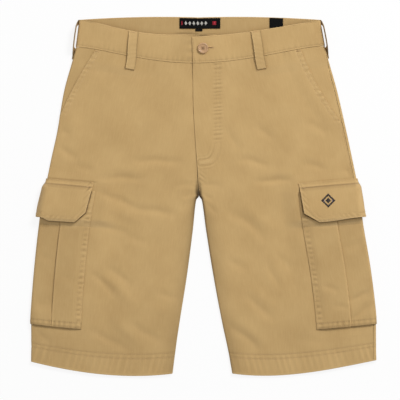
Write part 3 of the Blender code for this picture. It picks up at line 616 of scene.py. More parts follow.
def twill_look(name, khaki, pale, deep):
    """Twill: its dye, its yarns, its ribs, and its wear with the light and shade painted on it, in
    that order.
    """
    made, tree, shader = blank(name, {
        "Roughness": 0.92, "Specular IOR Level": 0.20, "Sheen Weight": 0.12,
        "Sheen Roughness": 0.6,
    })
    flat = add(tree, "ShaderNodeUVMap", {}, uv_map="cloth").outputs["UV"]
    where = add(tree, "ShaderNodeTexCoord", {}).outputs["Object"]
    slanted = add(tree, "ShaderNodeMapping", {
        "Vector": flat, "Rotation": (0.0, 0.0, math.radians(-58.0)),
    }).outputs["Vector"]
    ribs = add(tree, "ShaderNodeTexWave", {
        "Vector": slanted, "Scale": BAND_PERIOD / RIB, "Distortion": 0.6, "Detail": 1.0,
    }).outputs["Fac"]
    yarn_vector = add(tree, "ShaderNodeMapping", {
        "Vector": flat, "Scale": (620.0, 46.0, 1.0),
    }).outputs["Vector"]
    yarns = noise(tree, yarn_vector, Scale=1.0, Detail=2.0, Roughness=0.6)
    clouds = noise(tree, where, Scale=17.0, Detail=4.0, Roughness=0.55)
    grain = noise(tree, flat, Scale=480.0, Detail=2.0)
    # dye: large soft clouds, then yarn by yarn, then the ribs
    dyed = blend(tree, ramp(tree, clouds, 0.36, 0.64, 0.0, 0.4), khaki, deep)
    spun = blend(tree, ramp(tree, yarns, 0.42, 0.72, 0.0, 0.14), dyed, pale)
    woven = blend(tree, ramp(tree, ribs, 0.0, 1.0, 0.08, 0.0), spun, deep)
    # wear and painted light: paler where it is positive, partly rubbed fibres and partly painted
    # highlight, and darker where it is negative, mostly painted shade
    wear_and_shade = add(tree, "ShaderNodeAttribute", {}, attribute_name="worn_and_shaded").outputs["Fac"]
    rub_and_shading = add(tree, "ShaderNodeMath", {0: wear_and_shade, 1: grain}, operation="MULTIPLY").outputs[0]
    paled_and_lit = blend(tree, ramp(tree, rub_and_shading, 0.0, 0.8, 0.0, 0.9), woven, pale)
    colour = blend(tree, ramp(tree, wear_and_shade, 0.0, -1.3, 0.0, 0.95), paled_and_lit, "3E2E18")
    tree.links.new(colour, shader.inputs["Base Color"])
    ribbed = add(tree, "ShaderNodeBump", {
        "Height": ribs, "Strength": 0.16, "Distance": 0.00025,
    }).outputs["Normal"]
    napped = add(tree, "ShaderNodeBump", {
        "Height": grain, "Strength": 0.18, "Distance": 0.0004, "Normal": ribbed,
    }).outputs["Normal"]
    tree.links.new(napped, shader.inputs["Normal"])
    return made


twill = twill_look("khaki cotton twill", "C4A36E", "DEC08C", "B08E5B")

HEM_ROWS = (0.5, 6.5)           # stitch rows, from the hem's top
ROPE_SLANT, ROPE_PITCH = 0.30, 10.5


def hem_lift(s, down, seed):
    """The hem ropes a little as its stitches draw it up, and is pressed in at both rows."""
    ripple = 0.24 * wave(s + ROPE_SLANT * (down - HEM_TOP), ROPE_PITCH, seed)
    to_end = 1.0 - 0.5 * smooth(down, 512.0, LEG_END)
    ripple *= smooth(down, HEM_TOP - 2.0, HEM_TOP + 7.0) * to_end
    return ripple - sum(groove(down - HEM_TOP - row, 1.1, 0.16) for row in HEM_ROWS)


def hem_wear_and_shade(s, down, seed):
    """Wear at the hem, on its edge and the ridges of the rope, and painted shade along the rows."""
    ridge = max(wave(s + ROPE_SLANT * down, ROPE_PITCH, seed), 0.0)
    rub_and_shading = max(
        0.55 * smooth(down, LEG_END - 3.0, LEG_END),
        0.15 * smooth(down, HEM_TOP, HEM_TOP + 4.0) * ridge,
    )
    for row in HEM_ROWS:
        rub_and_shading -= 0.15 * bell(down - HEM_TOP - row, 1.2)
    return rub_and_shading


def panel_wall(down):
    """Thickness of a front or back, which grows into the turned hem."""
    return mix(TWILL, HEM, even(down, HEM_RAMP, HEM_TOP))


HEM_LEVELS = [492.0, 493.0, 493.9, 495.0, 496.4, 498.0, 499.1, 500.2, 501.6, 503.4]
HEM_LEVELS += steps(503.4, 520.4, 2.4) + [520.4, 522.0, 523.0, 523.6, LEG_END]
BACK_LEVELS = [HALF_SEAM, 0.8, 2.4, *steps(2.4, 488.0, 5.0), 488.0, *HEM_LEVELS]
BACK_WRAP = (0.0, 0.1, 0.2, 0.3, 0.4, 0.5, 0.6, 0.7, 0.8, 0.9, 1.0)
BACK_NEAR, BACK_MIDDLE = (1.6, 3.6, 6.0, 9.0), 52
BACK_LAST = (6.0, 4.2, 3.3, 2.7, 2.1, 1.5, 1.0, 0.5, 0.03)


@lru_cache(maxsize=None)
def back_columns(side, down):
    """Distances from the side fold of a back's columns, from its side seam inwards."""
    start = seam_at(side, down) - HALF_SEAM
    whole = girth(side, False, down)
    wrap = [-mix(start, -QUARTER, share) for share in BACK_WRAP]
    flats = [QUARTER + step for step in BACK_NEAR]
    first, last = QUARTER + BACK_NEAR[-1], whole - BACK_NEAR[-1]
    middle = [mix(first, last, index / BACK_MIDDLE) for index in range(1, BACK_MIDDLE + 1)]
    return wrap + flats + middle + [whole - step for step in BACK_LAST]


def back_spot(side):
    seed = 1.0 if side == "left" else 4.2

    def spot(column, level, skin):
        s = -back_columns(side, level)[column]
        share = 0.4 if s < -QUARTER else 1.0
        lift = hem_lift(s, level, seed) * share if level > HEM_RAMP else 0.0
        half = panel_wall(level) / 2 * rounded(LEG_END - level)
        return side, s, level, min(lift, 0.0) + skin * half * 0.94, hem_wear_and_shade(s, level, seed)

    return spot


for side in ("left", "right"):
    piece = cloth(
        f"back_{side}_cloth", len(back_columns(side, 10.0)), BACK_LEVELS, back_spot(side), twill,
    )
    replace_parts(piece, f"back_{side}")

# ---------------------------------------------------------------- hip pocket facings
# Behind each slanted opening lies a facing of the same twill, sewn into the side seam and
# the waist seam. Only the corner outside the opening shows.

OPENING_IN = {"left": 40.5, "right": 33.0}
OPENING_END = {"left": 128.0, "right": 114.0}
OPENING_BOW = {"left": 5.5, "right": -3.5}
FACING_UNDER, FACING_RAMP, FACING_ROOM = 14.0, 36.0, 0.2


@lru_cache(maxsize=None)
def opening_at(side, down):
    """Where the slanted opening crosses a level, as a distance from the side fold."""
    end = OPENING_END[side]
    seam = seam_at(side, down)
    if down >= end:
        return seam
    start_x, start_y = plan(side, True, OPENING_IN[side], 0.0)
    end_x, end_y = plan(side, True, seam_at(side, end), end)
    inwards = 1.0 if start_x < 0 else -1.0
    low, high = seam, OPENING_IN[side] + 2 * abs(OPENING_BOW[side])
    for _ in range(30):
        middle = (low + high) / 2
        x, y = plan(side, True, middle, down)
        t = even(start_y - y, 0.0, start_y - end_y)
        line_x = mix(start_x, end_x, t) + inwards * OPENING_BOW[side] * 4 * t * (1 - t)
        if (line_x - x) * inwards > 0:
            low = middle
        else:
            high = middle
    return low


FACING_COLUMNS = 26


def fade(off, reach):
    """1 at an edge, and falling to 0 away from it."""
    return math.exp(-off / reach)


def facing_spot(side):
    def spot(column, level, skin):
        start = seam_at(side, level) + HALF_SEAM
        share = (column / (FACING_COLUMNS - 1)) ** 1.2
        s = mix(start, opening_at(side, level) + FACING_UNDER, share)
        off = s - start
        lift = -groove(off - 2.2, 1.0, 0.16) + 0.06 * wave(level, 6.5, 2.0) * fade(off, 6.0)
        # painted shade where the facing runs in under the front at the opening, and the right
        # facing a little darker all over
        opening_shade = -0.12 * smooth(s, opening_at(side, level) - 2.0, opening_at(side, level) + 1.0)
        half = TWILL / 2 * rounded(off)
        shade = {"left": 0.0, "right": -0.11}[side]
        return side, s, level, lift + skin * half * 0.9, 0.25 * fade(off, 1.0) + opening_shade + shade

    return spot


for side, cut in (("left", (0.055, 0.127)), ("right", (0.055, 0.113))):
    end = OPENING_END[side] - 1.0
    levels = [HALF_SEAM, 0.8, *steps(0.8, end, 2.4), end]
    piece = cloth(f"hip_facing_{side}_cloth", FACING_COLUMNS, levels, facing_spot(side), twill)
    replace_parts(piece, f"hip_facing_{side}")

# ---------------------------------------------------------------- the two fronts and the fly
# One piece of twill each. The slanted pocket edges are turned and topstitched twice, and
# the wearer's left front laps over the right one at the fly, held by a J of two rows.

PUCKER = 8.8                    # mm from one pucker to the next along most seams
FLY_END, FLY_CLOSED = 184.0, 208.0
FLY_OVER, FLY_RAMP = 14.0, 42.0
BAND_OVER, BAND_RAMP = 42.0, 70.0
FRONT_NEAR = (0.0, 0.25, 0.6, 1.1, 1.7, 2.3, 3.1, 4.1, 5.3, 6.5, 7.3, 8.0, 8.8, 10.0, 12.0)
FRONT_LAST = (12.0, 9.8, 8.2, 6.8, 5.6, 4.6, 3.9, 3.3, 2.7, 2.1, 1.5, 1.0, 0.6, 0.3, 0.03)
FRONT_LEVELS = [HALF_SEAM, 0.5, 1.1, 2.0, 3.4, *steps(3.4, 210.0, 1.6), 210.0]
FRONT_LEVELS += [*steps(210.0, 224.0, 1.3), 224.0, *steps(224.0, 490.0, 2.45), 490.0, *HEM_LEVELS]
FRONT_MIDDLE = 100
FRONT_SEED = {"left": 2.2, "right": 5.1}
OPENING_ROWS = (1.9, 8.1)       # topstitch rows, from the pocket edge
OPENING_REACH, BAND_REACH = 24.0, 26.0      # how far puckers run from the opening and the band

# Shade in the fork, between the levels where it starts and is full, then starts to go and is
# gone, and how far in it reaches beside the fly and below it
FORK_SHADE = 1.40
FORK_STARTS, FORK_FULL, FORK_GOES, FORK_GONE = 199.0, 226.0, 229.0, 236.0
FORK_NEAR, FORK_WIDE = {"left": 4.6, "right": 2.7}, 5.6
FORK_FOLDS = (199.0, 7.0)       # level and distance in of the middle of its small folds

# The fly's J, from the waist seam down and round to the lap's edge: x and y, mm
FLY_ROWS = (
    ((20.5, 217.0), (20.6, 160.0), (20.8, 108.0), (20.6, 86.0), (18.6, 74.0), (13.6, 64.5),
     (6.0, 60.2), (-4.6, 59.0)),
    ((26.9, 215.0), (27.0, 160.0), (27.2, 106.0), (26.8, 84.0), (24.2, 70.0), (18.0, 59.5),
     (9.0, 54.4), (-4.2, 52.6)),
)


@lru_cache(maxsize=None)
def front_columns(side, down):
    """Distances from the side fold of a front's columns, from its outer edge inwards."""
    start = opening_at(side, down) + HALF_SEAM
    whole = girth(side, True, down)
    near = [start + step for step in FRONT_NEAR]
    first, last = near[-1], whole - FRONT_LAST[0]
    middle = [mix(first, last, index / FRONT_MIDDLE) for index in range(1, FRONT_MIDDLE)]
    return near + middle + [whole - step for step in FRONT_LAST]


@lru_cache(maxsize=None)
def front_lift(side, s, down):
    """The front rises over the hip facing, and the left one over the fly of the right."""
    opening = opening_at(side, down)
    off_facing = smooth(s, opening + FACING_UNDER + 1.0, opening + FACING_RAMP)
    end = OPENING_END[side]
    lift = (LAYER + FACING_ROOM) * (1.0 - off_facing) * (1.0 - even(down, end, end + 28.0))
    if side == "left":
        in_from_edge = girth(side, True, down) - s
        band = smooth(in_from_edge, BAND_OVER, BAND_RAMP)
        fly = even(in_from_edge, FLY_OVER, FLY_RAMP)
        below = even(down, 0.0, YOKE)
        lap = mix((BAND + SEAM) * (1.0 - band), LAYER * (1.0 - fly), below)
        lift += lap * (1.0 - even(down, FLY_END, FLY_CLOSED))
    return lift


def across_at(side, x, down):
    """Distance in from the side fold, over the front, of the place with this x at a level."""
    row = row_at(side, down)
    return (row.outer_x - x) / (row.outer_x - row.front_x) * span(side, True, down)


def spot_at(side, x, y, low=TOP, high=LEG_END):
    """s and down of a place on the front above the fork, from its x and y."""
    for _ in range(40):
        down = (low + high) / 2
        across = across_at(side, x, down)
        if plan(side, True, across, down)[1] > y:
            low = down
        else:
            high = down
    return across - FOLD + QUARTER, down


def softened(points, step=2.0):
    """Points along a smooth curve through a few given ones."""
    ends = [points[0], *points, points[-1]]
    made = []
    for p, q, r, z in zip(ends, ends[1:], ends[2:], ends[3:]):
        count = max(int(math.dist(q, r) / step), 1)
        for index in range(count):
            t = index / count
            made.append(tuple(
                0.5 * (2 * b + (c - a) * t + (2 * a - 5 * b + 4 * c - d) * t**2
                       + (3 * b - a - 3 * c + d) * t**3)
                for a, b, c, d in zip(p, q, r, z)
            ))
    return made + [points[-1]]


FLY_PATHS = [[spot_at("left", x, y) for x, y in softened(points)] for points in FLY_ROWS]
FLY_ARRAY = [np.array(path) for path in FLY_PATHS]
FLY_HALF = 3.2                  # half of the space between the J's rows
FLY_BENDS = 134.0               # level at which ripples between the rows give way to ridges
FLY_REACH, FLY_REACH_DOWN = 14.0, 190.0     # how far from the rows, and how far down, both run


def fly_lift(s, down):
    """The J's rows draw the cloth in, with short ripples between them: lift, and wear with painted
    light and shade on the ripples, the ridges and the rows.
    """
    if down > FLY_REACH_DOWN:
        return 0.0, 0.0
    near = []
    for path in FLY_ARRAY:
        off = np.hypot(path[:, 0] - s, path[:, 1] - down)
        near.append(float(off.min()))
    if min(near) > FLY_REACH:
        return 0.0, 0.0
    between = bell((near[0] + near[1]) / 2 - FLY_HALF, 4.4)
    ripple = between * wave(down, 6.8, 0.6) * (1.0 - smooth(down, FLY_BENDS, FLY_BENDS + 12.0))
    drawn = sum(bell(off, 1.4) for off in near)
    beside = sum(near) / 2 - FLY_HALF
    ridge = math.cos(math.tau * beside / 5.6) * bell(beside, 8.0)
    ridge *= smooth(down, FLY_BENDS, FLY_BENDS + 14.0)
    ridge *= 1.0 - 0.75 * smooth(girth("left", True, down) - s, 22.0, 32.0)
    fly_wear_and_shade = 0.26 * ripple + 0.30 * ridge - 0.10 * drawn
    return 0.30 * ripple + 0.30 * ridge - 0.26 * drawn, fly_wear_and_shade


def front_spot(side):
    seed = FRONT_SEED[side]
    opening_end = OPENING_END[side]

    def spot(column, level, skin):
        columns = front_columns(side, level)
        s = columns[column]
        edge = s - columns[0]
        inner = girth(side, True, level) - s
        lift = front_lift(side, s, level)
        open_share = 1.0 - even(level, opening_end - 6.0, opening_end + 6.0)
        wear_and_shade = hem_wear_and_shade(s, level, seed)
        if edge < OPENING_REACH:
            ripple = 0.34 * wave(level, 8.4, seed) * bell(edge - 5.0, 4.5)
            lift += open_share * (ripple - groove(edge - OPENING_ROWS[1], 1.1, 0.22))
            lift -= groove(edge - OPENING_ROWS[0], 0.9, 0.20) * mix(0.6, 1.0, open_share)
            rows = sum(bell(edge - row, 1.3) for row in OPENING_ROWS)
            # paler on the puckers' ridges, partly wear and partly painted light, with painted shade
            # in their hollows, paler along the rows, and a painted dark line at the very edge
            wear_and_shade += open_share * (0.6 * ripple + 0.34 * rows - 0.12 * fade(edge, 0.5))
        if level < BAND_REACH:
            under_band = bell(level - 3.0, 8.0)
            lift += 0.24 * wave(s, PUCKER, seed + 1.0) * under_band
        if side == "left":
            drawn, rub_and_shading = fly_lift(s, level)
            lift += drawn
            wear_and_shade += rub_and_shading
            if level < FLY_END:
                # a pale edge on the lap, partly wear and partly painted highlight, and a painted
                # shadow line at the very edge
                wear_and_shade += 0.35 * fade(inner, 1.0)
                lift -= groove(inner - 1.8, 0.9, 0.12)
                wear_and_shade -= 0.55 * bell(inner, 0.5)
        elif inner < 6.0 and level < FLY_CLOSED:
            # painted shade on the right front where the left one laps over it
            wear_and_shade -= 0.5 * smooth(-inner, -6.0, -2.0) * (1.0 - 0.8 * smooth(level, 145.0, 180.0))
        fork = bell(level - 205.0, 22.0) * fade(inner, 10.0)
        lift += 0.22 * fork * wave(level, 7.7, seed)
        if level > HEM_RAMP:
            lift += hem_lift(s, level, seed)
        if side == "left" and level < CROTCH_ARCH:
            # little folds run off the end of the fly, where the four seams meet, with painted light
            # on their ridges and painted shade in their hollows
            off_level, off_inner = level - FORK_FOLDS[0], inner - FORK_FOLDS[1]
            pulled = math.exp(-((off_level / 10.0) ** 2) - (off_inner / 5.0) ** 2)
            pulled *= math.sin(math.tau * (level - 0.9 * inner) / 8.0)
            lift += 0.20 * pulled
            wear_and_shade += 0.36 * pulled
        # inside the fork, where the legs part, hardly any light gets in
        dim = even(level, FORK_STARTS, FORK_FULL) * (1.0 - smooth(level, FORK_GOES, FORK_GONE))
        if dim > 0.0:
            below_fly = even(level, FORK_STARTS + 4.0, FORK_FULL)
            reach = mix(FORK_NEAR[side], FORK_WIDE, below_fly)
            wear_and_shade -= FORK_SHADE * dim * math.exp(-((inner / reach) ** 4))
        if level > CROTCH:
            # the cloth turns down round the inner leg, with painted shade on the turn and a wider
            # soft painted shade beside it
            inside = max(inner - 2.6, 0.0)
            turned = mix(0.95, 0.42, smooth(level, CROTCH, 290.0))
            turned *= 1.0 - 0.75 * smooth(level, 330.0, 440.0)
            wide = {"left": 0.26, "right": 0.17}[side]
            wear_and_shade -= turned * fade(inside, {"left": 1.9, "right": 3.0}[side])
            wear_and_shade -= wide * smooth(level, 240.0, 275.0) * bell(inside, 16.0)
        # darker towards the hem, and most at its outer end
        low, outer = {"left": (0.08, 0.02), "right": (0.09, 0.13)}[side]
        wear_and_shade -= low * smooth(level, 400.0, 480.0)
        wear_and_shade -= outer * smooth(level, 440.0, 490.0) * fade(max(s, 0.0), 45.0)
        off = s - POCKET_SHIFT[side]
        if 205.0 < level < FLAP_TOP and off < 92.0:
            # the flap's upper edge presses a line into the panel, with painted shade along it
            beside = 1.0 - smooth(off, 84.0, 92.0)
            line = beside * bell(level - FLAP_TOP + 1.0, 1.3)
            lift -= 0.25 * line
            wear_and_shade -= {"left": 0.10, "right": 0.35}[side] * line
        free = [LEG_END - level]
        if level < opening_end:
            free.append(edge)
        if side == "left" and level < FLY_END:
            free.append(inner)
        half = panel_wall(level) / 2 * rounded(*free)
        return side, s, level, lift + skin * half * 0.94, wear_and_shade

    return spot


for side in ("left", "right"):
    piece = cloth(
        f"front_{side}_cloth", len(front_columns(side, 10.0)), FRONT_LEVELS, front_spot(side),
        twill,
    )
    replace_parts(piece, f"front_{side}")


def laid(places, higher=0.0):
    """Points of the cloth in metres, from their side, s, down and lift."""
    return settle(np.array([lay(side, s, down, lift + higher) for side, s, down, lift in places]))


# Stitches: one stitch is a short thread that dives in at both ends. Rows of them are arrays.
THREAD, STITCH, PITCH = 0.62, 2.7, 3.3      # mm; the thread is drawn a little thicker to show
TACK_GAP = 0.55                 # mm from one thread of a bar tack to the next

bm = bmesh.new()
bmesh.ops.create_cone(
    bm, cap_ends=True, segments=4, radius1=0.5, radius2=0.5, depth=1.0,
)
bmesh.ops.bisect_plane(
    bm, geom=bm.verts[:] + bm.edges[:] + bm.faces[:], plane_co=(0, 0, 0), plane_no=(0, 0, 1),
)
bmesh.ops.recalc_face_normals(bm, faces=bm.faces[:])
bm.verts.index_update()
ONE_STITCH = np.array([vert.co[:] for vert in bm.verts])
ONE_STITCH_FACES = [[vert.index for vert in face.verts] for face in bm.faces]
bm.free()


def thread_mesh(name, stitches, look, width=THREAD):
    """One piece of many stitches, from (start, end, out) arrays in metres."""
    start, end, out = (np.array(part) for part in zip(*stitches))
    along = end - start
    sideways = np.cross(along, out)
    sideways /= np.linalg.norm(sideways, axis=1)[:, None]
    verts = []
    for px, py, pz in ONE_STITCH:
        middle = 1.0 - abs(pz) * 2
        girth_here = width / 1000.0 * (0.55 + 0.45 * middle)
        rise = (-0.22 + 0.34 * middle) * width / 1000.0
        verts.append(
            (start + end) / 2 + along * pz + sideways * px * girth_here
            + out * (py * girth_here * 0.8 + rise)
        )
    points = np.stack(verts, axis=1).reshape(-1, 3)
    size = len(ONE_STITCH)
    faces = [[size * n + corner for corner in face]
             for n in range(len(start)) for face in ONE_STITCH_FACES]
    mesh = bpy.data.meshes.new(name)
    mesh.from_pydata(points.tolist(), [], faces)
    mesh.shade_smooth()
    mesh.materials.append(look)
    piece = placed(name, mesh)
    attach(piece, "root")
    return piece


def row_of(path, pitch=PITCH):
    """Stitches along a path of (side, s, down, lift)."""
    low = laid(path)
    out = laid(path, 1.0) - low
    out /= np.linalg.norm(out, axis=1)[:, None]
    run = np.concatenate(([0.0], np.cumsum(np.linalg.norm(np.diff(low, axis=0), axis=1))))
    count = int(run[-1] * 1000 / pitch)
    made = []
    for index in range(count):
        at = (index + 0.5) * run[-1] / count
        ends = (at - STITCH / 2000, at + STITCH / 2000)
        a, b = (np.array([np.interp(end, run, low[:, axis]) for axis in range(3)]) for end in ends)
        n = np.array([np.interp(at, run, out[:, axis]) for axis in range(3)])
        made.append((a, b, n))
    return made


def tack(side, s, down, lift, length, width=1.9):
    """A bar tack: threads laid close together across a short bar."""
    made = []
    for index in range(int(length / TACK_GAP)):
        off = index * TACK_GAP - length / 2
        slant = TACK_GAP * 0.5 * (1 if index % 2 else -1)
        ends = [(side, s + (off + slant * half), down + half * width, lift)
                for half in (-0.5, 0.5)]
        low = laid(ends)
        out = laid(ends, 1.0).mean(axis=0) - low.mean(axis=0)
        made.append((low[0], low[1], out / np.linalg.norm(out)))
    return made


def speckled(name, first, second, grain, settings):
    """A new material that varies between two colours by a noise."""
    made, tree, shader = blank(name, settings)
    where = add(tree, "ShaderNodeTexCoord", {}).outputs["Object"]
    share = noise(tree, where, **grain)
    tree.links.new(blend(tree, share, first, second), shader.inputs["Base Color"])
    return made


# Spun polyester thread, dyed to match, with a slight shine.
thread = speckled("khaki sewing thread", "D2B384", "AE8A5A", {"Scale": 900.0}, {
    "Roughness": 0.6, "Specular IOR Level": 0.35,
})

OVER = TWILL / 2 + 0.04         # stitches lie on a layer of twill


def front_row(side, s_at, start, end):
    """Stitches down a front, where s_at(down) gives the distance from the side fold."""
    path = []
    for down in (start, *steps(start, end, 2.0), end):
        s = s_at(down)
        path.append((side, s, down, front_lift(side, s, down) + OVER - 0.16))
    return row_of(path)


def hem_rows(side):
    """The hem's two rows of stitches, on the front and on the back."""
    made = []
    seed = FRONT_SEED[side]
    for down in (HEM_TOP + row for row in HEM_ROWS):
        whole = girth(side, True, down) - 2.0
        start = seam_at(side, down) + 1.0
        wall = panel_wall(down) / 2
        path = [(side, s, down, wall + 0.04 + hem_lift(s, down, seed))
                for s in (start, *steps(start, whole, 2.0), whole)]
        made += row_of(path)
        whole = girth(side, False, down) - 2.0
        path = [(side, -s, down, wall - 0.12)
                for s in (QUARTER, *steps(QUARTER, whole, 3.0), whole)]
        made += row_of(path)
    return made


for side in ("left", "right"):
    end = OPENING_END[side]
    stitches = []
    for off in OPENING_ROWS:
        stitches += front_row(side, lambda down: opening_at(side, down) + off, 1.0, end - 3.0)
    stitches += front_row(side, lambda down: seam_at(side, down) + 2.2, end + 4.0, FLAP_TOP - 3.0)
    s = opening_at(side, 2.0) + 5.0
    stitches += tack(side, s, 2.6, front_lift(side, s, 2.6) + OVER, 7.0)
    stitches += hem_rows(side)
    thread_mesh(f"front_stitches_{side}", stitches, thread)

fly_stitches = []
for path in FLY_PATHS:
    points = [("left", s, down, front_lift("left", s, down) + fly_lift(s, down)[0] + OVER)
              for s, down in path if down > 1.0]
    fly_stitches += row_of(points)
for down in steps(FLY_END + 4.0, 222.0, PITCH):
    s = girth("left", True, down) - 1.8
    fly_stitches += row_of([
        ("left", s, down - 1.3, front_lift("left", s, down) + OVER),
        ("left", s, down + 1.3, front_lift("left", s, down) + OVER),
    ], pitch=2.5)
thread_mesh("fly_stitches", fly_stitches, thread)

# ---------------------------------------------------------------- cargo pockets
# Each is one cloth with an inverted box pleat, wrapped round the side of the leg and sewn
# on at both edges and below with two rows of stitches, which pucker it.

TUCK = 12.0                     # how far the cloth runs in under each fold of the pleat
# The flap's shade is painted on the pocket, so the flap's outline is needed here already.
FLAP_CORNER = 274.0
# Half width at the top, at the corner and at the end: on the back, and on each front
FLAP_HALVES = {
    "back": (88.0, 84.0, 65.0), "left": (91.0, 88.0, 64.5), "right": (84.0, 79.0, 63.5),
}
# How much lower the front's lower edge gets, and between which distances from the side fold
FLAP_SLANT = {"left": (4.2, 0.0, 62.0), "right": (5.0, 0.0, 16.0)}


def flap_half(part, level):
    """Half width of the flap at a level: nearly straight sides, then the cut corner."""
    at_top, at_corner, at_end = FLAP_HALVES[part]
    if level < FLAP_CORNER:
        return mix(at_top, at_corner, even(level, FLAP_TOP, FLAP_CORNER))
    return mix(at_corner, at_end, even(level, FLAP_CORNER, FLAP_END))


def flap_slant(side, s):
    """How much lower the flap's end is here than at the back."""
    slant, start, end = FLAP_SLANT[side]
    return slant * smooth(s, start, end)


def flap_edge(side, s, down):
    """Distance from the nearest free edge: a side, the cut corner or the lower end."""
    off = s - POCKET_SHIFT[side]
    part = side if off > 0 else "back"
    off = abs(off)
    _, at_corner, at_end = FLAP_HALVES[part]
    low = FLAP_END + flap_slant(side, s)
    slope = (at_corner - at_end) / (low - FLAP_CORNER)
    cut = (at_corner - off - slope * (down - FLAP_CORNER)) / math.hypot(1.0, slope)
    return min(flap_half(part, min(down, FLAP_CORNER)) - off, cut, low - down)


def offset_path(path, distance):
    """A path of (along, lift) points moved sideways, keeping the wall's width at its bends."""
    moved = []
    for index, (x, y) in enumerate(path):
        before = path[max(index - 1, 0)]
        after = path[min(index + 1, len(path) - 1)]
        normals = []
        for start, end in ((before, (x, y)), ((x, y), after)):
            dx, dy = end[0] - start[0], end[1] - start[1]
            length = math.hypot(dx, dy)
            if length > 0:
                normals.append((-dy / length, dx / length))
        nx = sum(normal[0] for normal in normals) / len(normals)
        ny = sum(normal[1] for normal in normals) / len(normals)
        scale = distance / (nx * nx + ny * ny)
        moved.append((x + nx * scale, y + ny * scale))
    return moved


def bend(x, y, radius, start, turn, parts=6):
    """Points along an arc round a middle, from an angle and through a turn in degrees."""
    angles = [math.radians(start + turn * part / parts) for part in range(parts + 1)]
    return [(x + radius * math.cos(angle), y + radius * math.sin(angle)) for angle in angles]


def finer(path, step):
    """The same path with points at most step apart."""
    made = [path[0]]
    for start, end in zip(path, path[1:]):
        count = max(math.ceil(math.dist(start, end) / step), 1)
        made += [tuple(mix(a, b, part / count) for a, b in zip(start, end))
                 for part in range(1, count + 1)]
    return made


POCKET_LEVELS = [POCKET_TOP, *steps(POCKET_TOP, 270.0, 2.4), 270.0, *steps(270.0, 298.0, 1.1)]
POCKET_LEVELS += [298.0, *steps(298.0, 442.0, 1.7), 442.0, *steps(442.0, 460.0, 1.5)]
POCKET_LEVELS += [460.0, 461.2, 462.0, 462.6, POCKET_END]
POCKET_ROWS = (2.4, 8.8)        # topstitch rows, from the sewn edges
POCKET_FRONT = {"left": 93.0, "right": 89.6}
PLEAT_FRONT = {"left": 36.6, "right": 41.3}
EDGE_SHADE = {"left": 0.0, "right": 0.34}


def pocket_half(edge, pleat):
    """(across, lift) of the pocket's cloth from its sewn edge to the foot of its pleat."""
    fold = LAYER / 2
    half = [(edge, LAYER), (edge - 0.5, LAYER + 0.06), (edge - POCKET_RISE, 3 * LAYER)]
    half += bend(pleat, 2 * LAYER + fold, fold, 90, 180)
    half += bend(pleat + TUCK, LAYER + fold, fold, 90, -180)
    return half + [(pleat - RAMP_DOWN, LAYER)]


def pocket_path(side):
    """(across, lift) round the pocket's cloth, from its front edge to its back edge."""
    shift = POCKET_SHIFT[side]
    turns = [QUARTER * share for share in (1.0, 0.75, 0.5, 0.25, 0.0, -0.25, -0.5, -0.75, -1.0)]
    middle = [(s - shift, LAYER) for s in turns]
    back = [(-x, y) for x, y in reversed(pocket_half(POCKET_HALF, PLEAT))]
    return finer(pocket_half(POCKET_FRONT[side], PLEAT_FRONT[side]) + middle + back, 1.8)


def foot_rise(side, across, level):
    """How much the cloth inside the pleat is lifted where the foot is sewn flat."""
    inside = PLEAT_FRONT[side] - across
    rise = smooth(level, 426.0, 446.0) * smooth(inside, 0.3, 2.6)
    return 1.6 * LAYER * rise * smooth(across + POCKET_SHIFT[side], -2.0, 10.0)


